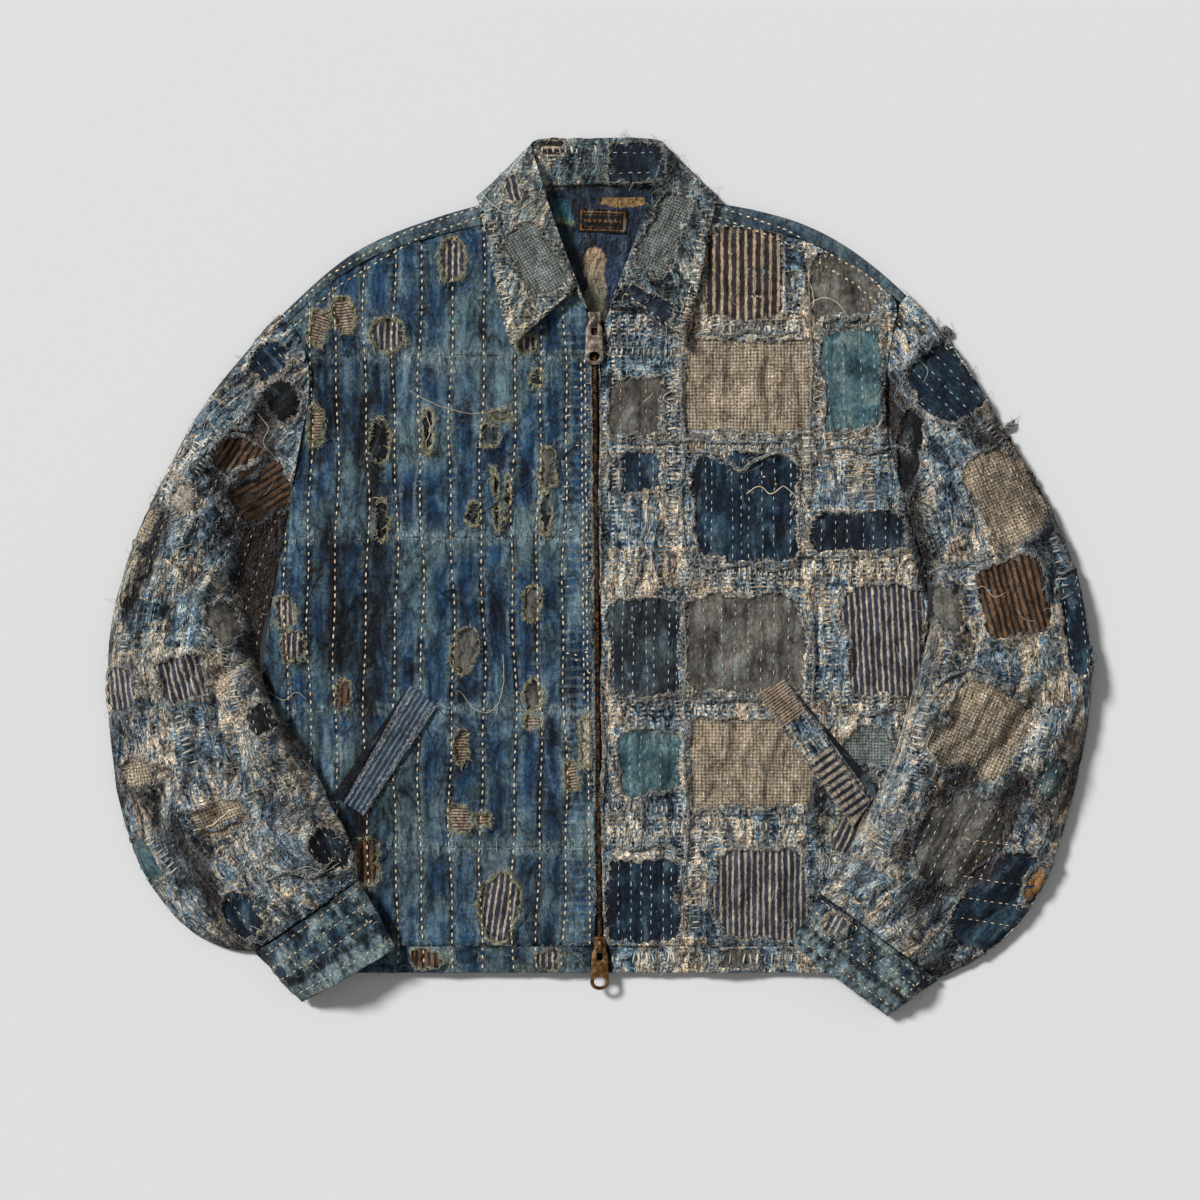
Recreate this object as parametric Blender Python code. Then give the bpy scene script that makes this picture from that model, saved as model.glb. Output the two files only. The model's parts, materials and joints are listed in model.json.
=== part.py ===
"""Patched boro jacket, laid flat on its back with its sleeves folded in over its sides.

Metres, +Z up. The collar points to +Y, the wearer's left is +X, and the underside rests on z = 0.
Sizes and tables below are in millimetres and are scaled where a mesh is made. Each cloth piece is a
grid of outer points, worked out from a short table of its edges or sections, and a Solidify gives it
its wall inwards.
"""

import math

import bmesh
import bpy
from mathutils import Vector

MM = 0.001

# Driving sizes, in millimetres.
CLOTH = 2.0             # wall of the fronts, back and sleeves: patched cloth with its lining
COLLAR_CLOTH = 1.6
SEAM_GAP = 0.4          # between two pieces at their seam
PATCH_GAP = 0.4         # between a panel and what lies on it
CREST = 12.5            # height of the closed fronts above the surface
SIDE_ROLL = 26.0        # how far in from a side fold the front reaches its crest
BACK_NECK_Y = 311.5     # seam of back and collar, at the middle
HEM_Y = -294.0          # seam of the body and its hem band
HEM_BOTTOM_Y = -315.5
SLEEVE_REST = 14.2      # height of a sleeve's underside where it lies on the body
REST_RAMP = (-22.0, 2.0)    # over which the underside climbs, measured in from the body's side
BACK_RISE = 2.3         # of the back over the collar's fall
ZIP_TOP_Y, ZIP_LEAN = 198.0, 0.0088     # the zip's line leans this much from straight
SLEEVE_ROLL, CUFF_ROLL = 44.0, 15.0     # how far in from its edges a tube reaches its height
LEAST_TUBE = 6.0        # of a tube, outside, at its folds
EDGE_ROUND = ((5.6, 0.86), (2.2, 0.64), (0.0, 0.36))    # inset and share of height at a tube's outer edge
HEM_CLOTH = 1.8
CREST_SINK = 3.0        # of the fronts towards the hem
FRONT_COLUMNS = 13
NECK_COLUMNS = (-40, -14, 14, 40)
RING_EDGE = 9           # ring points along the front half of an armhole, and along its back half

# Edges of the body below the armhole, hem to armpit: y, then x of the two side folds.
SIDES = (
    # y,     right,  left
    (-294.0, -244.0, 243.0),
    (-258.0, -252.0, 251.0),
    (-215.0, -259.0, 257.0),
    (-170.0, -264.0, 261.0),
    (-128.0, -267.0, 262.0),
    (-90.0, -268.0, 262.0),
    (-55.0, -267.0, 262.5),
)
# Armhole seams, armpit to shoulder.
ARMHOLES = {
    "right": ((-260, -20), (-256, 4), (-249, 35), (-242, 75), (-236, 108), (-229, 140), (-228, 168),
              (-237, 190)),
    "left": ((264, 0), (258, 14), (249, 42), (240, 74), (231, 106), (228, 138), (230, 168),
             (235, 196)),
}
# Inner edge of a front above its zip: the neckline, from the zip's top to the shoulder seam.
NECKLINE = ((8, 211), (19, 230), (33, 252), (47, 273))
# Top edge of the back: shoulder outline from the right armhole, past the neck, to the left armhole.
SHOULDERS = {
    "right": ((-62, 304), (-94, 297), (-142, 284), (-170, 273), (-198, 259), (-226, 236), (-252, 211)),
    "left": ((62, 305), (94, 298), (141, 291), (172, 280), (201, 264), (228, 243), (247, 225)),
}
WRAP = ((0.0, 6.0), (3.0, 10.6), (6.6, 12.5))   # inset from the outline and height, on the way round
WRAP_AT_NECK, WRAP_AT_ARM = 18.0, 10.0  # how far the back wraps forward, to the shoulder seam
BACK_INSET = 3.2                        # of the flat back from the outline
SIDE_LIFT = {"front": 5.5, "back": 1.2} # outer faces at a side fold
ARM_LEAD = 5.0                          # of a sleeve beside its seam, before its folds begin

# Large folds: piece, start, end, half-width, rise (a trough is negative).
FOLDS = (
    ("front", (-180, 150), (-172, 0), 11, -3.4),
    ("front", (-172, 0), (-182, -80), 13, -3.0),
    ("front", (-140, 120), (-128, -40), 12, 2.2),
    ("front", (-214, 60), (-205, -70), 10, 1.8),
    ("front", (-96, 60), (-88, -60), 10, -1.6),
    ("front", (-60, 130), (-52, 40), 12, -1.4),
    ("front", (60, 40), (66, -60), 11, -1.6),
    ("front", (120, 120), (128, 10), 14, 1.8),
    ("front", (146, -20), (140, -66), 12, -2.0),
    ("front", (186, 150), (192, 30), 11, -2.2),
    ("front", (90, -150), (96, -250), 13, 1.6),
    ("front", (-60, -150), (-52, -260), 13, 1.6),
    ("sleeve_right", (-262, 150), (-266, 72), 12, -9),
    ("sleeve_right", (-266, 72), (-282, -12), 17, -18),
    ("sleeve_right", (-282, -12), (-277, -64), 14, -20),
    ("sleeve_right", (-342, 46), (-368, -17), 9, -8),
    ("sleeve_right", (-318, 98), (-346, 30), 12, 4),
    ("sleeve_right", (-331, -6), (-306, -98), 9, -4),
    ("sleeve_right", (-306, -98), (-266, -182), 10, -5),
    ("sleeve_right", (-367, -169), (-288, -288), 11, -6),
    ("sleeve_right", (-250, -128), (-236, -206), 11, 5),
    ("sleeve_right", (-350, -120), (-322, -214), 15, 5),
    ("sleeve_right", (-300, -212), (-246, -236), 9, -5),
    ("sleeve_left", (243, 152), (247, 96), 12, -9),
    ("sleeve_left", (247, 96), (262, 20), 12, -17),
    ("sleeve_left", (322, 107), (346, 53), 10, -6),
    ("sleeve_left", (296, 120), (276, 40), 14, 5),
    ("sleeve_left", (322, -98), (273, -182), 13, -9),
    ("sleeve_left", (273, -182), (238, -217), 11, -7),
    ("sleeve_left", (352, -60), (300, -120), 12, 5),
    ("sleeve_left", (352, -128), (300, -200), 14, 5),
    ("sleeve_left", (336, -222), (262, -270), 12, -6),
    ("sleeve_left", (282, -24), (262, -96), 12, 4),
    ("sleeve_left", (256, -210), (206, -232), 9, -5),
)
# Sleeve sections after the armhole: outer edge, inner edge, height of the crest, and how much of the
# underside lies on the body (0 beside it, 1 on it).
SLEEVES = {
    "right": (
        # outer,        inner,        crest, on body
        ((-281, 180), (-264, -29), 19, 0.0),
        ((-308, 149), (-267.5, -42), 25, 0.0),
        ((-333, 108), (-269.5, -56), 30, 0.0),
        ((-356, 62), (-270, -72), 33, 0.0),
        ((-376, 16), (-262, -92), 35, 1.0),
        ((-389, -34), (-254, -108), 36, 1.0),
        ((-394, -85), (-242, -122), 35, 1.0),
        ((-390, -134), (-231, -138), 34, 1.0),
        ((-383, -182), (-220, -158), 32, 1.0),
        ((-368, -232), (-210, -180), 30, 1.0),
        ((-338, -276), (-199, -203), 26, 1.0),
        ((-300, -299), (-192, -222), 21, 1.0),
        ((-274, -299), (-190, -240), 15, 1.0),
    ),
    "left": (
        ((272, 200), (267, -9), 19, 0.0),
        ((299, 164), (266, -22), 25, 0.0),
        ((322, 120), (265, -40), 30, 0.0),
        ((350, 80), (258, -62), 33, 1.0),
        ((377, 24), (250, -84), 35, 1.0),
        ((390, -34), (244, -105), 36, 1.0),
        ((397, -88), (236, -136), 35, 1.0),
        ((389, -134), (226, -158), 34, 1.0),
        ((380, -178), (215, -182), 32, 1.0),
        ((366, -224), (203, -206), 30, 1.0),
        ((344, -270), (192, -226), 26, 1.0),
        ((311, -303), (182, -241), 21, 1.0),
        ((272, -321), (176, -250), 15, 1.0),
    ),
}
# Cuff sections from the sleeve to the mouth: outer edge, inner edge, height.
CUFFS = {
    "right": (
        ((-272.8, -299.9), (-189.4, -240.9), 15),
        ((-261, -312), (-180, -256), 15),
        ((-248, -326), (-169, -276), 16),
        ((-236, -339), (-160, -294), 17),
    ),
    "left": (
        ((271.4, -321.9), (175.4, -251.1), 15),
        ((259, -331), (168, -264), 15),
        ((245, -341), (160, -278), 16),
        ((232, -351), (153, -290), 17),
    ),
}
# Collar stations on one side, from its front end to the middle of the back: seam, crease and edge of
# the fall, each x, y, z of the outer face.
COLLAR = (
    # seam,              crease,              edge of the fall
    ((8.5, 213.5, 14.6), (15.5, 231, 21.0), (69, 182, 23.0)),
    ((18, 231.5, 14.6), (23, 250, 22.0), (76, 211, 19.5)),
    ((32, 254, 14.6), (34, 280, 22.6), (83, 243, 18.4)),
    ((46, 276, 14.8), (42, 305, 22.0), (89, 276, 18.6)),
    ((57, 290, 14.6), (48, 326, 19.0), (95, 299, 17.4)),
    ((58.5, 303, 11.5), (53, 341, 13.5), (96, 304, 9.0)),
    ((57.5, 309, 8.0), (53, 346, 10.0), (97, 303.5, 1.0)),
    ((50, 312.8, 6.0), (50, 349, 7.0), (88, 290, 0.0)),
    ((35, 313.0, 5.2), (36, 350.4, 5.6), (60, 279, 0.0)),
    ((17, 313.2, 5.0), (18, 350.8, 5.2), (28, 274, 0.0)),
    ((0, 313.2, 5.0), (0, 351, 5.2), (0, 273, 0.0)),
)
COLLAR_ACROSS = (0.0, 0.35, 0.7, 1.0)   # stand points from the seam to the crease
FALL_ACROSS = (0.05, 0.36, 0.7, 1.0)    # fall points from the crease to the edge

# Pocket welts on the fronts: the corners, top outer, top inner, bottom inner, bottom outer.
WELTS = {
    "right": ((-149, -86), (-128, -103), (-186, -190), (-202, -179)),
    "left": ((148, -81), (126.5, -93), (202, -199), (217, -179)),
}
FACING, FACING_CLOTH = 9.0, 0.5         # of the pocket mouths
LINING = ((-56, 165), (56, 165), (56, 303), (-56, 303))
LINING_CLOTH = 0.6

# Larger boro patches: name, panel, x from and to, y from and to, colour.
PATCHES = (
    ("ribbed", "front_left", (86, 146), (205, 278), "ribbed"),
    ("grey_shoulder", "front_left", (170, 226), (201, 261), "ash"),
    ("teal_chest", "front_left", (179, 224), (119, 199), "teal"),
    ("tan_check_chest", "front_left", (71, 168), (112, 191), "tan"),
    ("indigo_chest", "front_left", (75, 162), (14, 102), "navy"),
    ("navy_side", "front_left", (167, 234), (21, 51), "navy"),
    ("grey_pocket", "front_left", (70, 120), (-93, -15), "ash"),
    ("charcoal_low", "front_left", (12, 66), (-94, -21), "charcoal"),
    ("tan_check_low", "front_left", (72, 118), (-184, -111), "tan"),
    ("teal_low", "front_left", (17, 68), (-174, -121), "teal"),
    ("indigo_hem", "front_left", (8, 64), (-286, -224), "navy"),
    ("stripe_hem", "front_left", (92, 164), (-284, -217), "ribbed"),
    ("stripe_window_high", "front_right", (-125, -105), (235, 269), "ribbed"),
    ("stripe_window_round", "front_right", (-180, -153), (180, 205), "ribbed"),
    ("stripe_window_hem", "front_right", (-94, -63), (-286, -236), "ribbed"),
    ("stripe_window_side", "front_right", (-256, -238), (-66, -18), "ribbed"),
    ("navy_sleeve_head", "sleeve_left", (262, 288), (120, 156), "navy"),
    ("tan_check_sleeve", "sleeve_left", (296, 328), (30, 92), "tan"),
    ("tan_check_forearm", "sleeve_left", (268, 334), (-158, -88), "tan"),
    ("ash_forearm", "sleeve_left", (252, 316), (-248, -172), "ash"),
    ("stripe_sleeve", "sleeve_right", (-300, -262), (78, 114), "ribbed"),
    ("stripe_elbow", "sleeve_right", (-345, -311), (-96, -63), "ribbed"),
)
PATCH_CLOTH = 0.8

# Zip.
CHAIN_WIDTH, CHAIN_DEPTH = 5.6, 2.2
TAPE_WIDTH, TAPE_CLOTH = 11.0, 0.9
FRONT_TO_ZIP = 3.3      # from the zip's line to the edge of a front
SLIDER = (9.6, 12.6)    # width, length
SLIDER_PLATE = 1.3
WEB_INSET = 2.0         # of a slider's web from its plate's ends
PULL_LENGTH, PULL_NARROW, PULL_WIDE, PULL_THICK = 35.0, 9.6, 15.2, 1.5
PULL_BAR = 1.6          # the bar that passes under the slider's bail
PULL_LIFT = 0.45        # of the pull over its slider's plate
PULL_HANG = 1.5         # how far towards the hem the bar lies under the bail
BAIL_WIDTH, BAIL_THICK, BAIL_HEIGHT = 2.0, 1.2, 4.2
ZIP_STEPS = 12
TAPE_DROP = -2.4        # of the tapes' faces under the fronts' crest
LABEL, LABEL_CLOTH = (39.0, 19.0), 0.5
LABEL_AT = (3.6, 284.0, math.radians(-2))

COLOURS = {
    # name: (red, green, blue, roughness, metallic), linear
    "faded": (0.075, 0.150, 0.235, 0.92, 0.0),
    "gauze": (0.150, 0.215, 0.290, 0.94, 0.0),
    "sleeve": (0.110, 0.165, 0.230, 0.94, 0.0),
    "navy": (0.012, 0.022, 0.055, 0.90, 0.0),
    "teal": (0.045, 0.125, 0.180, 0.90, 0.0),
    "tan": (0.360, 0.270, 0.180, 0.92, 0.0),
    "ash": (0.125, 0.120, 0.115, 0.92, 0.0),
    "charcoal": (0.045, 0.050, 0.065, 0.92, 0.0),
    "ribbed": (0.280, 0.210, 0.170, 0.92, 0.0),
    "lining": (0.035, 0.080, 0.150, 0.75, 0.0),
    "label": (0.020, 0.014, 0.012, 0.60, 0.0),
    "brass": (0.350, 0.230, 0.110, 0.40, 0.9),
    "pewter": (0.230, 0.200, 0.180, 0.38, 0.9),
}


def clamp(value, low=0.0, high=1.0):
    return max(low, min(high, value))


def smooth(value):
    value = clamp(value)
    return value * value * (3 - 2 * value)


def mix(a, b, share):
    return tuple(p + (q - p) * share for p, q in zip(a, b))


def read_table(table, key, column):
    """A column of the table at this key, between its rows in a straight line."""
    rows = sorted(table)
    for low, high in zip(rows, rows[1:]):
        if key <= high[0]:
            share = clamp((key - low[0]) / (high[0] - low[0]))
            return low[column] + (high[column] - low[column]) * share
    return rows[-1][column]


def zip_x(y):
    return -ZIP_LEAN * y - 1.2


def folded(piece, x, y):
    """The summed rise of the piece's folds here."""
    rise = 0.0
    for owner, (x0, y0), (x1, y1), half_width, height in FOLDS:
        if owner != piece:
            continue
        run = Vector((x1 - x0, y1 - y0))
        place = Vector((x - x0, y - y0))
        along = place.dot(run) / run.length_squared
        nearest = Vector((x0, y0)) + run * clamp(along)
        away = (Vector((x, y)) - nearest).length
        rise += height * math.exp(-(away / half_width) ** 2)
    return rise


def material(name):
    made = bpy.data.materials.get(name)
    if made:
        return made
    red, green, blue, rough, metal = COLOURS[name]
    made = bpy.data.materials.new(name)
    made.use_nodes = True
    shader = made.node_tree.nodes["Principled BSDF"]
    shader.inputs["Base Color"].default_value = (red, green, blue, 1)
    shader.inputs["Roughness"].default_value = rough
    shader.inputs["Metallic"].default_value = metal
    return made


def add_object(name, bm, colour, origin=(0, 0, 0)):
    """The bmesh, in millimetres of the world, as an object whose origin is at this place."""
    bmesh.ops.translate(bm, verts=bm.verts, vec=-Vector(origin))
    bmesh.ops.scale(bm, verts=bm.verts, vec=(MM, MM, MM))
    mesh = bpy.data.meshes.new(name)
    bm.to_mesh(mesh)
    bm.free()
    mesh.shade_smooth()
    made = bpy.data.objects.new(name, mesh)
    made.location = Vector(origin) * MM
    made.data.materials.append(material(colour))
    bpy.context.scene.collection.objects.link(made)
    return made


def grid_mesh(rows, ring=False, keep=None):
    """Quads between rows of points. A ring closes each row, and keep(row, column) leaves cells out."""
    bm = bmesh.new()
    verts = [[bm.verts.new(point) for point in row] for row in rows]
    for i in range(len(rows) - 1):
        width = len(rows[i])
        for j in range(width if ring else width - 1):
            if keep and not keep(i, j):
                continue
            k = (j + 1) % width
            bm.faces.new((verts[i][j], verts[i][k], verts[i + 1][k], verts[i + 1][j]))
    bmesh.ops.delete(bm, geom=[v for v in bm.verts if not v.link_faces], context="VERTS")
    bmesh.ops.triangulate(bm, faces=bm.faces)
    return bm


def cloth(name, rows, colour, wall=CLOTH, ring=False, keep=None, turn=False):
    """A cloth piece: its outer face as a grid, with the wall added on the inside."""
    bm = grid_mesh(rows, ring, keep)
    if turn:
        bmesh.ops.reverse_faces(bm, faces=bm.faces)
    return walled(name, bm, colour, wall)


def laid_on(name, rows, outline, rise, colour, wall):
    """A piece that lies on a panel: the panel's own faces moved up, cut to a convex outline."""
    bm = grid_mesh([[raised(point, rise + wall) for point in row] for row in rows])
    middle = sum((Vector(corner) for corner in outline), Vector((0, 0))) / len(outline)
    for start, end in zip(outline, outline[1:] + outline[:1]):
        outward = Vector((end[1] - start[1], start[0] - end[0]))
        if outward.dot(Vector(start) - middle) < 0:
            outward.negate()
        bmesh.ops.bisect_plane(bm, geom=bm.verts[:] + bm.edges[:] + bm.faces[:], dist=1e-5,
                               plane_co=(*start, 0), plane_no=(*outward, 0), clear_outer=True)
    bmesh.ops.dissolve_degenerate(bm, dist=0.05, edges=bm.edges)
    bmesh.ops.triangulate(bm, faces=bm.faces)
    for face in bm.faces:
        if face.normal.z < 0:
            face.normal_flip()
    return walled(name, bm, colour, wall)


def walled(name, bm, colour, wall):
    made = add_object(name, bm, colour)
    solid = made.modifiers.new("wall", "SOLIDIFY")
    solid.thickness = wall * MM
    solid.offset = -1
    return made


def crest(y):
    """Height of the fronts along the zip: they sink a little towards the hem."""
    return CREST - CREST_SINK * smooth((-190 - y) / 100)


def side_x(y, side):
    return read_table(SIDES, y, 1 if side == "right" else 2)


def wrap_inset(step):
    """How far the back wraps forward at this point of a shoulder, counted from the neck."""
    return WRAP_AT_NECK + (WRAP_AT_ARM - WRAP_AT_NECK) * smooth(step / (len(SHOULDERS["left"]) - 1))


def shoulder_line(side, inset):
    """The shoulder's outline, neck to arm, moved into the body by inset(step)."""
    outline = SHOULDERS[side]
    turn = -1 if side == "left" else 1
    moved = []
    for step, (x, y) in enumerate(outline):
        (xa, ya), (xb, yb) = outline[max(step - 1, 0)], outline[min(step + 1, len(outline) - 1)]
        length = math.hypot(xb - xa, yb - ya)
        inward = (-(yb - ya) / length * turn, (xb - xa) / length * turn)
        moved.append((x + inward[0] * inset(step), y + inward[1] * inset(step)))
    return moved


def armhole_height(step):
    """The seam climbs from the armpit to the fronts' crest."""
    return 6.0 + (CREST - 6.0) * smooth(step / 2.4)


def front_edge(side):
    """Outer edge of a front, hem to shoulder seam: x, y and height."""
    column = 1 if side == "right" else 2
    points = [(row[column], row[0], SIDE_LIFT["front"]) for row in SIDES]
    seam_end = shoulder_line(side, wrap_inset)[-1]
    points += [(x, y, armhole_height(k)) for k, (x, y) in enumerate(ARMHOLES[side] + (seam_end,))]
    return points


def front_rows(side):
    """Rows of a front, hem to shoulder seam, each from the zip or neckline to the outer edge."""
    sign = -1 if side == "right" else 1
    outer = front_edge(side)
    seam = shoulder_line(side, wrap_inset)
    straight = len(outer) - len(NECKLINE) - 1
    inner = []
    for step in range(straight):
        y = HEM_Y + (ZIP_TOP_Y - 7 - HEM_Y) * (step / (straight - 1)) ** 0.93
        inner.append((zip_x(y) + sign * FRONT_TO_ZIP, y))
    inner += [(sign * x, y) for x, y in NECKLINE] + [seam[0]]
    rows = []
    last = len(outer) - 1
    for number, ((xi, yi), (xo, yo, zo)) in enumerate(zip(inner, outer)):
        row = []
        for column in range(FRONT_COLUMNS):
            share = 1 - (1 - column / (FRONT_COLUMNS - 1)) ** 1.25
            x, y = mix((xi, yi), (xo, yo), share)
            bow = Vector(along_line(seam, share)) - Vector(mix(seam[0], seam[-1], share))
            x, y = Vector((x, y)) + bow * smooth((number - straight + 2) / (last - straight + 2))
            away = math.hypot(xo - x, yo - y)
            top = crest(y)
            roll = math.sqrt(1 - (1 - clamp(away / SIDE_ROLL)) ** 2)
            fade = smooth(away / 34) * smooth(math.hypot(x - xi, y - yi) / 26)
            fade *= smooth(number / 2) * smooth((last - number) / 2)
            z = zo + (top - zo) * roll + folded("front", x, y) * fade
            row.append((x, y, z))
        rows.append(row)
    return rows


def along_line(points, share):
    """The place at this share of the steps between the points."""
    at = min(int(share * (len(points) - 1)), len(points) - 2)
    return mix(points[at], points[at + 1], share * (len(points) - 1) - at)


def back_rise(x, y):
    return BACK_RISE * smooth((y - 222) / 22) * (1 - smooth((abs(x) - 104) / 20))


def back_rows():
    """Rows of the back, hem to shoulders, then round the outline to the shoulder seams."""
    right, left = front_edge("right"), front_edge("left")
    below, last = len(SIDES), len(right) - 1
    flat_top = {side: shoulder_line(side, lambda step: BACK_INSET) for side in SHOULDERS}
    rows = []
    for number, ((xr, yr, _), (xl, yl, _)) in enumerate(zip(right, left)):
        climb = smooth((number - below + 1) / (last - below + 1)) ** 1.4
        top = flat_top["right"][::-1] + [(x, BACK_NECK_Y) for x in NECK_COLUMNS] + flat_top["left"]
        ends = (top[0], top[-1])
        row = []
        for xt, yt in top:
            share = (xt - ends[0][0]) / (ends[1][0] - ends[0][0])
            x, y = mix((xr, yr), (xl, yl), share)
            x, y = (mix((x, y), (xt, yt), climb) if number < last else (xt, yt))
            row.append((x, y, back_rise(x, y)))
        if number < last:
            lift = SIDE_LIFT["back"] if number < below else 0.0
            row[0], row[-1] = (xr, yr, lift), (xl, yl, lift)
        rows.append(row)
    wraps = [(lambda step, i=inset: i, height) for inset, height in WRAP]
    wraps.append((lambda step: wrap_inset(step) - 2 * SEAM_GAP, CREST))
    for inset, height in wraps:
        lines = {side: shoulder_line(side, inset) for side in SHOULDERS}
        flat = lines["right"][::-1] + [(x, BACK_NECK_Y) for x in NECK_COLUMNS] + lines["left"]
        rows.append([(x, y, height) for x, y in flat])
    return rows


def make_torso():
    """Fronts, and the back with its shoulders wrapped over."""
    fronts = {side: front_rows(side) for side in SHOULDERS}
    cloth("front_right", fronts["right"], "faded", turn=True)
    cloth("front_left", fronts["left"], "gauze")
    back = back_rows()
    flat = len(back) - len(WRAP) - 2
    shoulder = len(SHOULDERS["left"]) - 1
    neck = range(shoulder, len(back[0]) - 1 - shoulder)
    cloth("back", back, "sleeve", keep=lambda i, j: i < flat or j not in neck, turn=True)
    return fronts, back


def make_hem_band(fronts, back):
    """One strip from the zip, round the back, to the zip again."""
    left, right = fronts["left"][0], fronts["right"][0]
    fold = {1: (left[-1][0] + 2.4, 3.0), -1: (right[-1][0] - 2.4, 3.0)}
    loop = list(left) + [(fold[1][0], HEM_Y, fold[1][1])]
    loop += [(x, y, z if 0 < k < len(back[0]) - 1 else 0.6)
             for k, (x, y, z) in reversed(list(enumerate(back[0])))]
    loop += [(fold[-1][0], HEM_Y, fold[-1][1])] + list(right)[::-1]
    rows = []
    for y, narrow, sink in ((HEM_Y - SEAM_GAP, 0.0, 0.0), (-305.0, 0.006, 0.0),
                            (HEM_BOTTOM_Y, 0.014, 0.9)):
        row = []
        for x, _, z in loop:
            close = smooth((abs(x) - 60) / 120)
            row.append((x * (1 - narrow * close), y, z - sink if z > 5 else z))
        rows.append(row)
    return cloth("hem_band", rows, "gauze", wall=HEM_CLOTH, turn=True)


def rest(x, y, on_body):
    """Height of what a sleeve or cuff lies on here."""
    side = "right" if x < 0 else "left"
    inward = abs(side_x(y, side)) - abs(x)
    climb = smooth((inward - REST_RAMP[0]) / (REST_RAMP[1] - REST_RAMP[0]))
    past_hem = smooth((y - (HEM_BOTTOM_Y - 26)) / 22)
    return SLEEVE_REST * climb * past_hem * on_body


def tube_ring(piece, outer, inner, height, on_body, roll):
    """One section of a flattened tube: over the top from the inner edge, then back underneath."""
    width = math.hypot(outer[0] - inner[0], outer[1] - inner[1])

    def place(distance):
        return mix(inner, outer, distance / width)

    ring = []
    for step in range(RING_EDGE):
        distance = (width - 10) * (step / (RING_EDGE - 1)) ** 1.1
        x, y = place(distance)
        base = rest(x, y, on_body)
        ends = min(clamp((distance + 3) / roll), clamp((width - distance) / roll))
        z = base + height * math.sqrt(1 - (1 - ends) ** 2) + folded(piece, x, y)
        ring.append((x, y, max(z, base + LEAST_TUBE)))
    shoulder = ring[-1][2]
    for inset, share in EDGE_ROUND:
        x, y = place(width - inset)
        base = rest(x, y, on_body)
        ring.append((x, y, base + (shoulder - base) * share))
    for step in range(RING_EDGE):
        distance = (width - 4) - (width - 7) * step / (RING_EDGE - 1)
        x, y = place(distance)
        ring.append((x, y, rest(x, y, on_body)))
    return ring


def armhole_ring(side, gap):
    """A section of the sleeve along the body's armhole, this far from it."""
    away = -gap if side == "right" else gap
    near_seam = math.copysign(SEAM_GAP + 0.2, away)
    edge = []
    for step, (x, y, z) in enumerate(front_edge(side)[len(SIDES):]):
        # at the armpit the sleeve turns down its own seam, so it leads off along the body's side
        outward = 0.5 + 0.5 * smooth(step / 3)
        edge.append((x + near_seam + (away - near_seam) * outward,
                     y - abs(away - near_seam) * 1.2 * (1 - outward), z))
    ring = list(edge)
    for inset, height in reversed(WRAP):
        x, y = shoulder_line(side, lambda step, i=inset: i)[-1]
        ring.append((x + away, y - 0.4, height))
    x, y = shoulder_line(side, lambda step: BACK_INSET)[-1]
    ring.append((x + away, y - 0.4, 0.0))
    ring += [(x, y, 0.0) for x, y, _ in reversed(edge[:-1])]
    return ring


def make_sleeves():
    """Two flattened tubes. It returns the upper side of each, as rows of points."""
    upper = {}
    for side, colour in (("right", "sleeve"), ("left", "gauze")):
        piece = f"sleeve_{side}"
        rings = [armhole_ring(side, gap) for gap in (SEAM_GAP + 0.2, ARM_LEAD)]
        for outer, inner, height, on_body in SLEEVES[side]:
            rings.append(tube_ring(piece, outer, inner, height, on_body, SLEEVE_ROLL))
        cloth(piece, rings, colour, ring=True, turn=side == "left")
        upper[piece] = [ring[:RING_EDGE + len(EDGE_ROUND)] for ring in rings]
    return upper


def make_cuffs():
    for side in SHOULDERS:
        piece = f"cuff_{side}"
        rings = [tube_ring(piece, outer, inner, height, 1.0, CUFF_ROLL)
                 for outer, inner, height in CUFFS[side]]
        cloth(piece, rings, "faded", ring=True, turn=side == "left")


def collar_line(seam, crease, edge):
    """Across the collar at one station: up the stand, over the crease, and down the fall."""
    line = [mix(seam, crease, share) for share in COLLAR_ACROSS[:-1]]
    line[1] = (line[1][0], line[1][1], line[1][2] + 0.6)
    line.append((crease[0], crease[1], crease[2] - 0.4))
    # a wing slopes evenly to its edge, and the part under the back drops flat at once
    sharp = 1 + 60 * (1 - clamp(edge[2] / 9)) ** 2
    for share in FALL_ACROSS:
        x, y, _ = mix(crease, edge, share)
        line.append((x, y, edge[2] + (crease[2] - edge[2]) * (1 - share) ** sharp))
    return line


def make_collar():
    """One leaf round the neck: its wings lie on the fronts, its middle folds under the back."""
    half = [collar_line(*station) for station in COLLAR]
    rows = half + [[(-x, y, z) for x, y, z in line] for line in half[-2::-1]]
    return cloth("collar", rows, "gauze", wall=COLLAR_CLOTH)


def raised(point, rise):
    return (point[0], point[1], point[2] + rise)


def make_patches(panels):
    """The larger boro patches lie on the fronts and sleeves, which they follow."""
    for name, panel, (x0, x1), (y0, y1), colour in PATCHES:
        corners = [(x0, y0), (x1, y0), (x1, y1), (x0, y1)]
        laid_on(f"patch_{name}", panels[panel], corners, PATCH_GAP, colour, PATCH_CLOTH)


def make_pockets(fronts):
    """Each pocket shows a slanted welt, and the dark facing of its mouth beside it."""
    for side, corners in WELTS.items():
        outward = -1 if side == "right" else 1
        laid_on(f"welt_{side}", fronts[side], list(corners), PATCH_GAP, "gauze", PATCH_CLOTH)
        (top_x, top_y), (low_x, low_y) = corners[0], corners[3]
        lip = 2 * SEAM_GAP * outward
        mouth = [(top_x + lip, top_y), (low_x + lip, low_y),
                 (low_x + FACING * outward, low_y + 6), (top_x + 3 * outward, top_y - 3)]
        laid_on(f"pocket_facing_{side}", fronts[side], mouth, PATCH_GAP, "navy", FACING_CLOTH)


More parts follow.
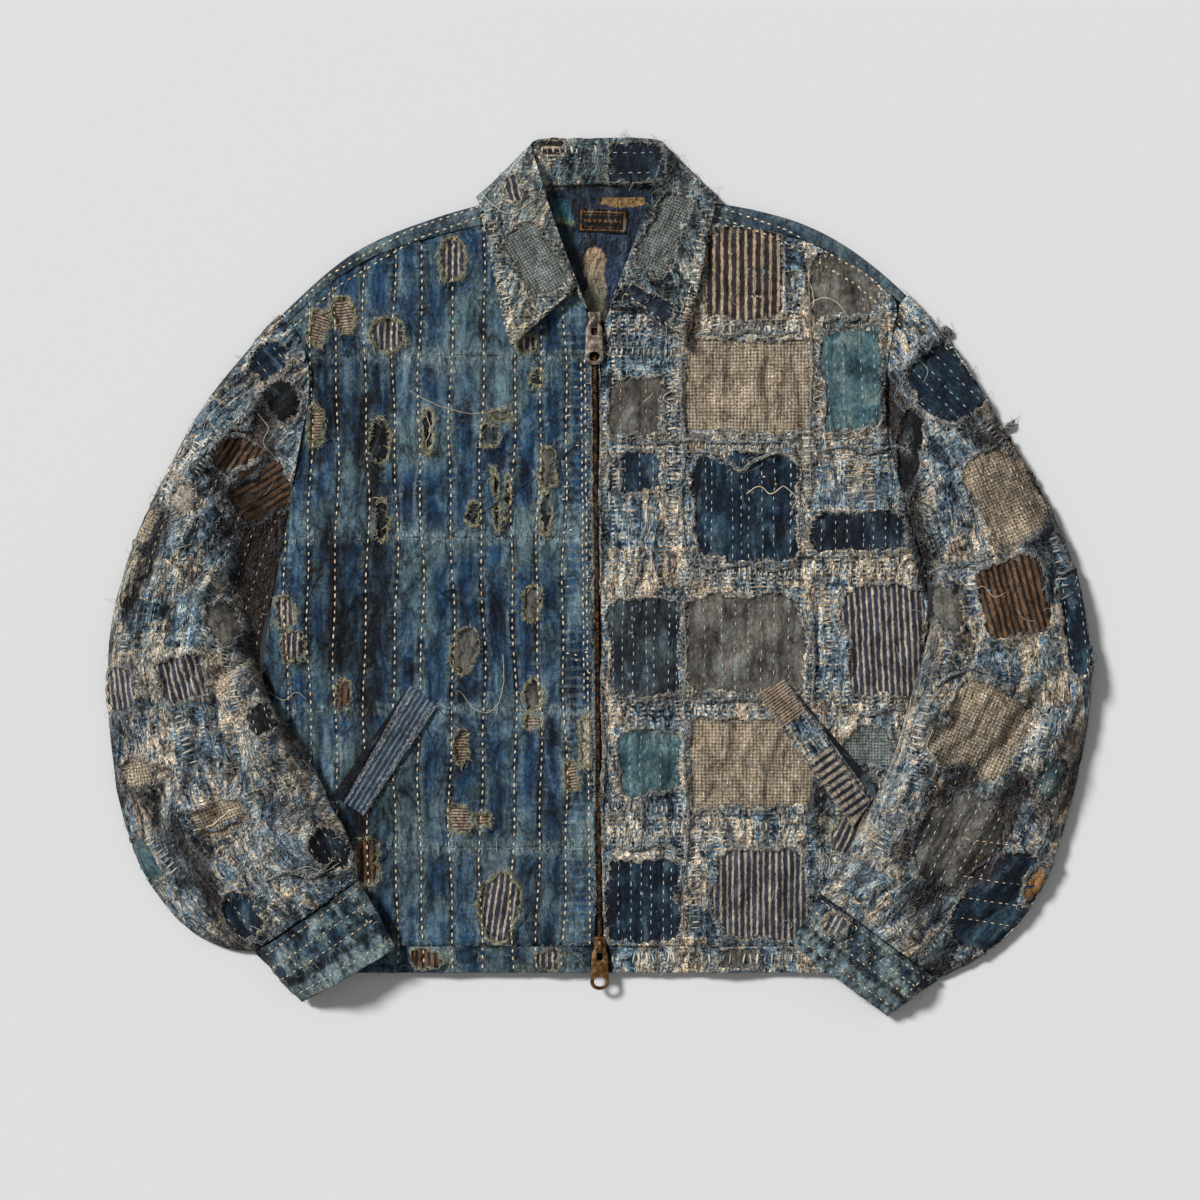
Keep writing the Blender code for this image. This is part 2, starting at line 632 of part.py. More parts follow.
def make_neck_inside(back):
    """What shows inside the neck: the lining of the back, and its woven label."""
    laid_on("neck_lining", back, list(LINING), CLOTH + PATCH_GAP, "lining", LINING_CLOTH)
    x, y, turn = LABEL_AT
    across = Vector((math.cos(turn), math.sin(turn))) * LABEL[0] / 2
    up = across.orthogonal().normalized() * LABEL[1] / 2
    corners = [tuple(Vector((x, y)) + across * a + up * b) for a, b in ((-1, -1), (1, -1), (1, 1), (-1, 1))]
    laid_on("neck_label", back, corners, CLOTH + LINING_CLOTH + 2 * PATCH_GAP, "label", LABEL_CLOTH)


def zip_strip(x_from, x_to, y_from, y_to, rise):
    """Rows of a strip along the zip's line, at this rise over the fronts' crest."""
    strip = []
    for step in range(ZIP_STEPS + 1):
        y = y_from + (y_to - y_from) * step / ZIP_STEPS
        strip.append([(zip_x(y) + x, y, crest(y) + rise) for x in (x_from, x_to)])
    return strip


def make_zip():
    """Two tapes under the fronts' edges, the closed chain on them, and a slider at each end."""
    low = HEM_Y + 2.0
    bottom_y = HEM_Y + 1.0
    for side, sign in (("right", -1), ("left", 1)):
        tape = zip_strip(sign * 0.3, sign * TAPE_WIDTH, low, ZIP_TOP_Y, TAPE_DROP)
        cloth(f"zip_tape_{side}", tape, "navy", wall=TAPE_CLOTH, turn=sign < 0)
    half = CHAIN_WIDTH / 2
    chain_low = bottom_y + SLIDER[1] / 2 - WEB_INSET + PATCH_GAP
    chain = zip_strip(-half, half, chain_low, ZIP_TOP_Y - 2.0, TAPE_DROP + PATCH_GAP + CHAIN_DEPTH)
    cloth("zip_chain", chain, "brass", wall=CHAIN_DEPTH)
    make_slider("top", ZIP_TOP_Y + SLIDER[1] / 2, "brass")
    make_slider("bottom", bottom_y, "pewter")


def box_mesh(low, high):
    bm = bmesh.new()
    bmesh.ops.create_cube(bm, size=1.0)
    size = [b - a for a, b in zip(low, high)]
    bmesh.ops.scale(bm, verts=bm.verts, vec=size)
    bmesh.ops.translate(bm, verts=bm.verts, vec=[(a + b) / 2 for a, b in zip(low, high)])
    return bm


def bail_mesh(x, y, z):
    """The arch over a slider that its pull hangs on: half an oval band, upright along the zip."""
    outer_y, outer_z = SLIDER[1] / 2 - 1.2, BAIL_HEIGHT
    bm = bmesh.new()
    rims = []
    for side in (-BAIL_WIDTH / 2, BAIL_WIDTH / 2):
        rim = []
        for step in range(13):
            angle = math.pi * step / 12
            for thick in (0.0, BAIL_THICK):
                rim.append(bm.verts.new((x + side, y + (outer_y - thick) * math.cos(angle),
                                         z - 0.6 + (outer_z + 0.6 - thick) * math.sin(angle))))
        rims.append(rim)
    left, right = rims
    for step in range(12):
        a, b, c, d = 2 * step, 2 * step + 1, 2 * step + 3, 2 * step + 2
        bm.faces.new((left[a], left[b], left[c], left[d]))
        bm.faces.new((right[d], right[c], right[b], right[a]))
        bm.faces.new((left[a], left[d], right[d], right[a]))
        bm.faces.new((left[b], right[b], right[c], left[c]))
    bm.faces.new((left[0], right[0], right[1], left[1]))
    bm.faces.new((left[-1], right[-1], right[-2], left[-2]))
    bmesh.ops.recalc_face_normals(bm, faces=bm.faces)
    return bm


def make_slider(end, y, colour):
    """A slider's top plate over the fronts, its web between them, and its bail, with its pull."""
    x, top = zip_x(y), crest(y) + PATCH_GAP + 0.1
    half_x, half_y = SLIDER[0] / 2, SLIDER[1] / 2
    body = add_object(f"{end}_slider", box_mesh((x - half_x, y - half_y, top),
                                                (x + half_x, y + half_y, top + SLIDER_PLATE)), colour)
    web = box_mesh((x - 2.1, y - half_y + WEB_INSET, crest(y) + TAPE_DROP + PATCH_GAP),
                   (x + 2.1, y + half_y - WEB_INSET, top + 0.5))
    for part, bm in (("web", web), ("bail", bail_mesh(x, y, top + SLIDER_PLATE))):
        helper = add_object(f"{end}_slider_{part}", bm, colour)
        helper.hide_render = True
        helper.display_type = "WIRE"
        union = body.modifiers.new(part, "BOOLEAN")
        union.operation = "UNION"
        union.object = helper
    make_pull(end, Vector((x, y - PULL_HANG, top + SLIDER_PLATE + PULL_LIFT + PULL_THICK / 2)))


def closed_spline(curve, points):
    spline = curve.splines.new("POLY")
    spline.points.add(len(points) - 1)
    for point, (x, y) in zip(spline.points, points):
        point.co = (x * MM, y * MM, 0, 1)
    spline.use_cyclic_u = True


def arc(x, y, radius_x, radius_y, start, end, count):
    """Points round an oval, from one angle to another in degrees."""
    angles = [math.radians(start + (end - start) * k / (count - 1)) for k in range(count)]
    return [(x + radius_x * math.cos(a), y + radius_y * math.sin(a)) for a in angles]


def make_pull(end, pivot):
    """A tapering pull whose top bar lies under the bail: its origin is on the bar's axis."""
    narrow, wide = PULL_NARROW / 2, PULL_WIDE / 2
    low = PULL_BAR / 2 - PULL_LENGTH
    outline = [(-narrow, -2.6), (-narrow + 1.6, PULL_BAR / 2), (narrow - 1.6, PULL_BAR / 2), (narrow, -2.6),
               (narrow + 1.5, -5.0), (wide - 0.5, low + 9.0)]
    outline += arc(0, low + 6.4, wide, 6.4, 0, -180, 13)
    outline += [(0.5 - wide, low + 9.0), (-narrow - 1.5, -5.0)]
    slot = [(-2.5, -PULL_BAR / 2), (-2.5, -9.0), *arc(0, -9.0, 2.5, 2.0, 180, 360, 7)[1:-1],
            (2.5, -9.0), (2.5, -PULL_BAR / 2)]
    hole = arc(0, low + 6.6, 4.6, 3.9, 0, 330, 12)
    curve = bpy.data.curves.new(f"{end}_puller", "CURVE")
    curve.dimensions = "2D"
    curve.fill_mode = "BOTH"
    curve.extrude = PULL_THICK / 2 * MM
    for points in (outline, slot, hole):
        closed_spline(curve, points)
    pull = bpy.data.objects.new(f"{end}_puller", curve)
    pull.location = pivot * MM
    curve.materials.append(material("pewter"))
    bpy.context.scene.collection.objects.link(pull)


def main():
    for old in list(bpy.data.objects):
        bpy.data.objects.remove(old)
    fronts, back = make_torso()
    make_hem_band(fronts, back)
    panels = make_sleeves()
    panels.update({f"front_{side}": rows for side, rows in fronts.items()})
    make_cuffs()
    make_collar()
    make_neck_inside(back[:-len(WRAP) - 1])
    make_pockets(fronts)
    make_patches(panels)
    make_zip()


main()
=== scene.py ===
# %% [markdown]
# # A patched work jacket, laid out flat
# The jacket is cotton cloth mended again and again: faded indigo on one front, torn open-weave
# cloth on the other front and the sleeves, with scraps of striped, checked and plain cloth under
# the holes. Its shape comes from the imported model. Here each cloth gets its soft surface, its
# scraps, its stitches and its loose threads.

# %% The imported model
import json
import math

import bmesh
import bpy
import numpy as np
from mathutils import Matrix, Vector, geometry
from mathutils.bvhtree import BVHTree

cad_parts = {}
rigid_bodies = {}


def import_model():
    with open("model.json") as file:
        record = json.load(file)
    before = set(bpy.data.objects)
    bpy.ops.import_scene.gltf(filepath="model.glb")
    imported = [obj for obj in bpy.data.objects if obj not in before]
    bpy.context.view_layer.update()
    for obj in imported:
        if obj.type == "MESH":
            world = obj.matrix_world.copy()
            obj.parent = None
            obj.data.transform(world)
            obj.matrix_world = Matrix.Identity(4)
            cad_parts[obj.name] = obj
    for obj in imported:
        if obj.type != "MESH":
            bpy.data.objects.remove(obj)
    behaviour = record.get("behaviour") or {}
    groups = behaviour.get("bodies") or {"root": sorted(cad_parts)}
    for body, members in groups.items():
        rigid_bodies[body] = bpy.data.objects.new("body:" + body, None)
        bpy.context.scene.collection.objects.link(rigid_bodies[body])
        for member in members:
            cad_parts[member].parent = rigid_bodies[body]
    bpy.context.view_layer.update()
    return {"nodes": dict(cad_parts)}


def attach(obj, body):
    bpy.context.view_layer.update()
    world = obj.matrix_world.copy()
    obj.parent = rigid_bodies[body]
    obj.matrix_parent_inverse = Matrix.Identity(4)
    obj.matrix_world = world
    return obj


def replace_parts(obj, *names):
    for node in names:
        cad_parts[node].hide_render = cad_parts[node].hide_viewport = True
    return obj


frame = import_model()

nodes = frame["nodes"]
MM = 0.001

# %% [markdown]
# ## Noise for shapes
# Worn cloth is never even. Folds, torn edges and thread ends all need smooth irregular numbers
# that come out the same on every run. A lattice of hashed values, blended smoothly, gives them
# for whole arrays of points at once.

# %% A smooth irregular value over a plane
def clouds(x, y, size, seed=0):
    """Values from -1 to 1 with lumps of about this size, in the units of x and y."""
    x, y = np.asarray(x, float) / size, np.asarray(y, float) / size
    column, row = np.floor(x), np.floor(y)
    across, up = x - column, y - row
    across, up = across * across * (3 - 2 * across), up * up * (3 - 2 * up)

    def corner(right, above):
        mixed = np.sin((column + right) * 127.1 + (row + above) * 311.7 + seed * 74.7) * 43758.5453
        return 2 * (mixed - np.floor(mixed)) - 1

    low = corner(0, 0) * (1 - across) + corner(1, 0) * across
    high = corner(0, 1) * (1 - across) + corner(1, 1) * across
    return low * (1 - up) + high * up


def ramp(value, start, end):
    """0 before start, 1 after end, smooth between."""
    share = np.clip((np.asarray(value, float) - start) / (end - start), 0, 1)
    return share * share * (3 - 2 * share)


def count_in(table):
    """How many rows a table holds for all its owners."""
    return sum(len(rows) for rows in table.values())


print("clouds at three places:", clouds([0, 5, 10], [0, 0, 0], 7).round(2))

# %% [markdown]
# ## Words for materials
# Every cloth here is built from the same few shader nodes: noise, ramps, mixes and sums. A small
# class with one short word for each keeps the recipes readable, and works the same inside a
# material and inside a shared group.

# %% Short words for shader nodes
class Recipe:
    def __init__(self, tree):
        self.tree = tree

    def node(self, kind, **settings):
        made = self.tree.nodes.new(kind)
        for name, value in settings.items():
            setattr(made, name, value)
        return made

    def put(self, socket, value):
        if isinstance(value, bpy.types.NodeSocket):
            self.tree.links.new(value, socket)
        elif value is not None:
            socket.default_value = value

    def math(self, operation, *values, clamp=False):
        made = self.node("ShaderNodeMath", operation=operation, use_clamp=clamp)
        for socket, value in zip(made.inputs, values):
            self.put(socket, value)
        return made.outputs[0]

    def plus(self, a, b):
        return self.math("ADD", a, b)

    def minus(self, a, b):
        return self.math("SUBTRACT", a, b)

    def times(self, a, b):
        return self.math("MULTIPLY", a, b)

    def madd(self, a, b, c):
        """a times b, plus c."""
        return self.math("MULTIPLY_ADD", a, b, c)

    def apart(self, a, b):
        """How far apart two values are."""
        return self.math("ABSOLUTE", self.minus(a, b))

    def sway(self, value, weight):
        """A noise value taken about its middle, this strong."""
        return self.times(self.minus(value, 0.5), weight)

    def lift(self, level, value, weight, middle=0.5):
        """The level, raised where the value is above its middle."""
        return self.madd(self.minus(value, middle), weight, level)

    def mix(self, share, a, b, blend="MIX"):
        made = self.node("ShaderNodeMix", data_type="RGBA", blend_type=blend)
        for socket, value in ((0, share), (6, a), (7, b)):
            self.put(made.inputs[socket], value)
        return made.outputs[2]

    def stretch(self, vector, by):
        return self.vector("MULTIPLY", vector, by)

    def noise(self, vector, size, detail=2.0, rough=0.5, bend=0.0, out="Fac"):
        """Noise whose lumps are about this size in metres; a socket gives the scale itself."""
        made = self.node("ShaderNodeTexNoise")
        scale = size if isinstance(size, bpy.types.NodeSocket) else 1 / size
        for name, value in (("Vector", vector), ("Scale", scale), ("Detail", detail),
                            ("Roughness", rough), ("Distortion", bend)):
            self.put(made.inputs[name], value)
        return made.outputs[out]

    def vector(self, operation, *values):
        made = self.node("ShaderNodeVectorMath", operation=operation)
        for socket, value in zip(made.inputs, values):
            self.put(socket, value)
        return made.outputs[0]

    def step(self, value, start, end):
        made = self.node("ShaderNodeMapRange", interpolation_type="SMOOTHSTEP")
        for socket, given in zip(made.inputs, (value, start, end)):
            self.put(socket, given)
        return made.outputs[0]

    def split(self, vector):
        made = self.node("ShaderNodeSeparateXYZ")
        self.put(made.inputs[0], vector)
        return made.outputs

    def colours(self, value, stops):
        made = self.node("ShaderNodeValToRGB")
        self.put(made.inputs[0], value)
        band = made.color_ramp
        while len(band.elements) < len(stops):
            band.elements.new(0.5)
        for element, (place, colour) in zip(band.elements, stops):
            element.position = place
            element.color = linear(colour)
        return made.outputs[0]

    def attribute(self, name):
        return self.node("ShaderNodeAttribute", attribute_name=name)

    def grain(self):
        return self.attribute("grain").outputs["Vector"]

    def bump(self, height, distance, strength=1.0, normal=None):
        made = self.node("ShaderNodeBump")
        for name, value in (("Height", height), ("Distance", distance), ("Strength", strength),
                            ("Normal", normal)):
            self.put(made.inputs[name], value)
        return made.outputs[0]


def linear(colour):
    """A colour as written on a paint card, 0 to 255, made linear."""
    return tuple((c / 255) ** 2.2 for c in colour) + (1.0,)


print("pale cream is", [round(c, 3) for c in linear((219, 194, 164))])

# %% [markdown]
# ## Shared effects
# Four effects return in nearly every cloth. *Weave* is the over-and-under of warp and weft.
# *Wash* is the uneven fading of dye, with streaks along the warp, bleached places and deeper
# ones. *Flecks* is the broken, open surface of cloth whose top threads have worn away.
# *Crumple* is the sharp creasing of washed cloth; its creases are also painted darker, as shade,
# and its crests paler, as highlight. Each is a node group with its own inputs, so each cloth can
# set its own scale and colours.

# %% The shared groups
def group(name, inputs, outputs):
    made = bpy.data.node_groups.new(name, "ShaderNodeTree")
    for label, kind, start in inputs:
        socket = made.interface.new_socket(label, in_out="INPUT", socket_type="NodeSocket" + kind)
        if start is not None:
            socket.default_value = start
    for label, kind in outputs:
        made.interface.new_socket(label, in_out="OUTPUT", socket_type="NodeSocket" + kind)
    recipe = Recipe(made)
    return made, recipe, recipe.node("NodeGroupInput").outputs, recipe.node("NodeGroupOutput").inputs


def weave_group():
    made, r, given, out = group("weave", [("Grain", "Vector", None), ("Pitch", "Float", 0.0009)],
                                [("Height", "Float")])
    turns = r.math("DIVIDE", 2 * math.pi, given["Pitch"])
    sway = r.times(r.noise(given["Grain"], 0.006), 0.0012)
    x, y, _ = r.split(given["Grain"])
    warp = r.math("SINE", r.times(r.plus(x, sway), turns))
    weft = r.math("SINE", r.times(r.plus(y, sway), turns))
    slub = r.noise(r.stretch(given["Grain"], (1.0, 0.12, 1.0)), 0.0011, detail=1.0)
    r.put(out["Height"], r.madd(r.times(warp, weft), 0.35, slub))
    return made


def wash_group():
    made, r, given, out = group(
        "wash",
        [("Grain", "Vector", None), ("Deep", "Color", None), ("Mid", "Color", None),
         ("Pale", "Color", None), ("Cloud", "Float", 0.05), ("Shift", "Float", 0.0)],
        [("Color", "Color")])
    grain = given["Grain"]
    streak = r.noise(r.stretch(grain, (1.0, 0.06, 1.0)), 0.0034, detail=3.0)
    big = r.noise(grain, r.math("DIVIDE", 1.0, given["Cloud"]), detail=4.0, rough=0.55)
    fine = r.noise(grain, 0.0028, detail=3.0, rough=0.7)
    level = r.madd(streak, 0.7, r.times(big, 2.6))
    level = r.plus(r.madd(fine, 0.5, level), given["Shift"])
    low = r.mix(r.step(level, 1.5, 1.92), given["Deep"], given["Mid"])
    r.put(out["Color"], r.mix(r.step(level, 1.86, 2.36), low, given["Pale"]))
    return made


def squares(r, grain, width, height, wobble):
    """Rectangles of cloth with uneven borders: a value for each, another value, and its border."""
    shift = r.noise(grain, 2.2 * wobble, detail=3.0, out="Color")
    moved = r.vector("MULTIPLY_ADD", shift, (wobble, wobble, 0.0), grain)
    scaled = r.stretch(moved, (1 / width, 1 / height, 1.0))
    drawn = r.node("ShaderNodeTexWhiteNoise", noise_dimensions="2D")
    r.put(drawn.inputs["Vector"], r.vector("FLOOR", scaled))
    x, y, _ = r.split(r.vector("FRACTION", scaled))
    border = r.math("MAXIMUM", r.apart(x, 0.5), r.apart(y, 0.5))
    return drawn.outputs["Value"], r.split(drawn.outputs["Color"])[1], border


def flecks_group():
    """How pale each place is: worn warp and weft over each other, in rectangles that differ."""
    made, r, given, out = group(
        "flecks", [("Grain", "Vector", None), ("Cream", "Float", 0.0), ("Size", "Float", 1.0)],
        [("Level", "Float"), ("Warm", "Float")])
    grain = r.node("ShaderNodeVectorMath", operation="SCALE")
    r.put(grain.inputs[0], given["Grain"])
    r.put(grain.inputs["Scale"], given["Size"])
    grain = grain.outputs[0]
    large, hue, border = squares(r, grain, 0.043, 0.031, 0.016)
    small, small_hue, _ = squares(r, grain, 0.0185, 0.0235, 0.008)
    warp = r.noise(r.stretch(grain, (1.0, 0.16, 1.0)), 0.0017, detail=2.0, rough=0.6, bend=0.5)
    weft = r.noise(r.stretch(grain, (0.16, 1.0, 1.0)), 0.0017, detail=2.0, rough=0.6, bend=0.5)
    pick = r.step(r.lift(small_hue, r.noise(grain, 0.006, detail=2.0, bend=0.8), 1.4), 0.4, 0.6)
    over = r.madd(r.minus(weft, warp), pick, warp)
    level = r.lift(0.5, over, 1.35)
    level = r.lift(level, r.noise(grain, 0.0016, detail=3.0, rough=0.7), 0.5)
    level = r.lift(level, r.noise(r.stretch(grain, (1.0, 0.07, 1.0)), 0.0075, detail=2.0), 1.0)
    level = r.lift(level, r.noise(grain, 0.007, detail=2.0, bend=0.8), 0.9)
    level = r.lift(level, r.noise(grain, 0.03, detail=3.0, rough=0.6), 1.0)
    level = r.lift(r.lift(level, large, 0.34), small, 0.3)
    level = r.lift(level, r.step(border, 0.455, 0.49), 0.22, 0.0)
    calm = r.step(r.noise(grain, 0.014, detail=3.0, bend=0.6), 0.5, 0.58)
    level = r.madd(r.times(calm, -0.5), r.minus(level, 0.7), level)
    gap = r.step(r.noise(r.stretch(grain, (1.0, 0.6, 1.0)), 0.0065, detail=2.0, bend=0.5), 0.39, 0.31)
    level = r.lift(level, gap, -0.42, 0.0)
    x, y, _ = r.split(grain)
    sway = r.times(r.noise(grain, 0.011, 2.0), 7.0)
    across = r.math("SINE", r.madd(x, 2 * math.pi / 0.0074, sway))
    along = r.math("SINE", r.madd(y, 2 * math.pi / 0.0036, sway))
    rung = r.times(r.step(across, -0.1, 0.5), r.step(along, -0.1, 0.5))
    gap = r.times(r.step(across, -0.1, 0.5), -0.35)
    ladder = r.plus(rung, gap)
    level = r.madd(ladder, r.madd(given["Cream"], 0.85, 0.1), level)
    r.put(out["Level"], r.madd(given["Cream"], 0.16, level))
    warm = r.lift(r.lift(r.noise(grain, 0.05, detail=3.0, rough=0.6), hue, 0.34), small_hue, 0.2)
    r.put(out["Warm"], r.step(warm, 0.45, 0.66))
    return made


def crumple_group():
    """Sharp creases in washed cloth, mostly along the warp: 0 in a crease and about 1 between."""
    made, r, given, out = group("crumple", [("Grain", "Vector", None)],
                                [("Height", "Float"), ("Crease", "Float")])
    folds = []
    for stretch, size, bend in (((1.0, 0.36, 1.0), 0.0125, 0.6), ((1.0, 0.7, 1.0), 0.0058, 0.9)):
        value = r.noise(r.stretch(given["Grain"], stretch), size, bend=bend)
        folds.append(r.times(r.apart(value, 0.5), 6.0))
    r.put(out["Height"], r.madd(folds[1], 0.42, folds[0]))
    r.put(out["Crease"], r.madd(r.step(folds[1], 0.28, 0.0), 0.4, r.step(folds[0], 0.3, 0.0)))
    return made


WEAVE, WASH, FLECKS, CRUMPLE = weave_group(), wash_group(), flecks_group(), crumple_group()
print("groups:", [g.name for g in bpy.data.node_groups])

# %% [markdown]
# ## The cloths
# Each cloth is a Principled surface with high roughness and a little sheen. Patterns read the
# piece's own *grain* attribute, which holds the distance across and along its threads, so
# stripes follow a sleeve round its bend. The *marks* attribute holds what happened to each
# place and the light painted on it: red for bleaching and painted highlight, green for grime and
# painted shade, blue for pale threads, alpha for rust-brown stain.

# %% Rows of mending on the faded front, in millimetres
STITCH_LINES = (-248, -229.5, -208.5, -184.5, -161.5, -141, -116.5, -92, -67, -47, -26.5)
CROSS_SEAMS = (175.5, 31, -105.5, -215.5)    # heights of the seams across it
SWAYS = ((1.9, 47.0, 31.0), (0.9, 17.0, 13.0))    # size, height and width of each sway


def rows_group():
    """Furrows under the rows of stitches and the puckers beside them, on the faded front."""
    made, r, given, out = group("rows", [("Grain", "Vector", None)],
                                [("Height", "Float"), ("Furrow", "Float"), ("Ridge", "Float")])
    x, y, _ = r.split(given["Grain"])
    sway = 0.0
    for size, tall, wide in SWAYS:
        turn = r.madd(x, 1 / (wide * MM), r.math("DIVIDE", y, tall * MM))
        sway = r.madd(r.math("SINE", turn), size * MM, sway)
    straightened = r.minus(x, sway)
    away = 1.0
    for line in STITCH_LINES:
        away = r.math("MINIMUM", away, r.apart(straightened, line * MM))
    furrow = r.step(away, 2.4 * MM, 0.2 * MM)
    ridge = r.times(r.step(away, 1.2 * MM, 3.4 * MM), r.step(away, 7.5 * MM, 3.6 * MM))
    pucker = r.noise(r.stretch(given["Grain"], (0.28, 1.0, 1.0)), 0.0042, detail=1.0, bend=0.5)
    pucker = r.sway(pucker, r.step(away, 9 * MM, 1.5 * MM))
    waver = r.times(r.noise(given["Grain"], 0.012, detail=2.0), 5.0)
    rung = r.step(r.math("SINE", r.madd(y, 2 * math.pi / 0.0072, waver)), 0.0, 0.8)
    rung = r.times(rung, r.step(x, -32 * MM, -27 * MM))    # the doubled cloth beside the zip
    lower = r.plus(y, r.sway(r.noise(given["Grain"], 0.03), 0.004))
    across = 1.0
    for seam in CROSS_SEAMS:
        across = r.math("MINIMUM", across, r.apart(lower, seam * MM))
    crimp = r.noise(r.stretch(given["Grain"], (1.0, 0.3, 1.0)), 0.0034, detail=1.0, bend=0.5)
    crimp = r.sway(crimp, r.step(across, 9 * MM, 1.5 * MM))
    pucker = r.madd(crimp, 1.5, pucker)
    furrow = r.math("MAXIMUM", furrow, r.step(across, 1.1 * MM, 0.3 * MM))
    height = r.madd(furrow, -0.55, r.times(ridge, 0.3))
    height = r.madd(rung, 0.35, height)
    r.put(out["Height"], r.madd(pucker, 1.9, height))
    r.put(out["Furrow"], r.madd(r.step(pucker, -0.03, -0.14), 0.5, furrow))
    ridge = r.plus(r.times(ridge, 0.5), r.step(pucker, 0.02, 0.12))
    faint = r.times(r.step(across, 8 * MM, 2 * MM), r.step(r.noise(given["Grain"], 0.009, 3.0), 0.38, 0.6))
    ridge = r.madd(faint, 1.1, ridge)
    r.put(out["Ridge"], r.madd(rung, 0.7, ridge))
    return made


ROWS = rows_group()

# %% Building blocks of a cloth
def use(r, shared, **inputs):
    made = r.node("ShaderNodeGroup", node_tree=shared)
    for name, value in inputs.items():
        r.put(made.inputs[name], value)
    return made.outputs


def start_cloth(name, roughness=0.93, sheen=0.12):
    material = bpy.data.materials.new(name)
    material.use_nodes = True
    r = Recipe(material.node_tree)
    shader = material.node_tree.nodes["Principled BSDF"]
    shader.inputs["Roughness"].default_value = roughness
    shader.inputs["Sheen Weight"].default_value = sheen
    shader.inputs["Sheen Roughness"].default_value = 0.6
    shader.inputs["Specular IOR Level"].default_value = 0.18
    return material, r, shader.inputs


def finish_cloth(r, sockets, colour, height, relief=0.0008, pale=(146, 166, 176), thread=None, ridge=0.42,
                 contrast=1.0):
    """Wear, stain and painted light over a cloth's own colour: high threads pale and clean, as wear and
    painted highlight, low ones dark, as grime and painted shade, and its height.
    """
    marks = r.attribute("marks")
    red, green, blue = r.split(marks.outputs["Vector"])
    grain = r.grain()
    folds = use(r, CRUMPLE, Grain=grain)
    broken = r.noise(grain, 0.003, detail=4.0, rough=0.7)
    broken = r.minus(broken, 0.5)
    bleached = r.step(r.madd(broken, 1.6, red), 0.2, 0.95)
    colour = r.mix(r.times(bleached, 0.85), colour, linear(pale))
    if thread is not None:
        frayed = r.step(r.madd(broken, 1.9, blue), 0.3, 0.75)
        colour = r.mix(r.times(frayed, 0.85), colour, linear(thread))
    stain = r.step(r.madd(broken, 1.4, marks.outputs["Alpha"]), 0.25, 0.95)
    colour = r.mix(r.times(stain, 0.6), colour, linear((116, 86, 54)))
    nap = r.noise(r.stretch(grain, (1.0, 0.55, 1.0)), 0.0021, detail=3.0, rough=0.65)
    light = r.madd(r.minus(nap, 0.5), 3.3 * contrast, 1.0)
    # Painted shade and highlight: the colour follows the crumple's height, lighter on the crests and darker
    # in the creases.
    light = r.madd(r.minus(folds["Height"], 0.56), 0.9 * contrast, light)
    colour = r.mix(1.0, colour, r.math("MAXIMUM", light, 0.2), blend="MULTIPLY")
    # The crests are also painted pale, as wear and painted highlight.
    worn = r.times(r.step(folds["Height"], 0.75, 1.6), ridge)
    colour = r.mix(worn, colour, linear(pale))
    # Painted shade in the creases, together with the marks' grime and shade and random dirt, darkens the
    # colour.
    dark = r.madd(folds["Crease"], 0.12 + 0.3 * contrast, green)
    dirt_and_shade = r.math("MULTIPLY", r.madd(broken, 1.2, dark), 0.92, clamp=True)
    dirt_and_shade = r.times(dirt_and_shade, r.madd(bleached, -0.5, 1.0))
    colour = r.mix(dirt_and_shade, colour, r.mix(stain, linear((13, 16, 22)), linear((40, 27, 17))))
    r.put(sockets["Base Color"], colour)
    crumpled = r.bump(folds["Height"], 0.006, 1.0)
    r.put(sockets["Normal"], r.bump(height, relief, 1.0, crumpled))


def faded_cloth(name, deep, mid, pale, cloud=0.055, shift=0.0, bleach_and_highlight=(146, 170, 176), rows=False,
                contrast=0.5):
    """Plain cloth, washed out in clouds and streaks; rows adds the furrows of the mending, painted darker
    as shade, and the ridges beside them, painted paler as highlight.
    """
    material, r, sockets = start_cloth(name)
    grain = r.grain()
    colour = use(r, WASH, Grain=grain, Deep=linear(deep), Mid=linear(mid), Pale=linear(pale), Cloud=cloud,
                 Shift=shift)["Color"]
    height = use(r, WEAVE, Grain=grain)["Height"]
    height = r.madd(r.noise(grain, 0.0035, detail=3.0), 2.0, height)
    if rows:
        mended = use(r, ROWS, Grain=grain)
        # Painted shade in the furrows; painted highlight on the ridges and puckers beside them, with the
        # pale rubbed seams and the rungs by the zip.
        colour = r.mix(r.times(mended["Furrow"], 0.5), colour, linear([c * 0.6 for c in deep]))
        colour = r.mix(r.times(mended["Ridge"], 0.5), colour, linear(bleach_and_highlight))
        height = r.madd(mended["Height"], 2.6, height)
    finish_cloth(r, sockets, colour, height, 0.0012, bleach_and_highlight, (190, 180, 138), contrast=contrast)
    return material


def gauze_cloth(name, shades, shift=0.0, size=1.0, warm=(1.0, 0.86, 0.7)):
    """Open-weave cloth: from dark gaps through three blues to worn cream threads."""
    material, r, sockets = start_cloth(name)
    grain = r.grain()
    blue = r.split(r.attribute("marks").outputs["Vector"])[2]
    flecks = use(r, FLECKS, Grain=grain, Cream=blue, Size=size)
    level = r.plus(flecks["Level"], shift)
    colour = r.colours(level, list(zip((0.1, 0.3, 0.48, 0.68, 0.86, 1.0), shades)))
    colour = r.mix(r.times(flecks["Warm"], 0.3), colour, [*warm, 1.0], blend="MULTIPLY")
    finish_cloth(r, sockets, colour, level, 0.0022)
    return material


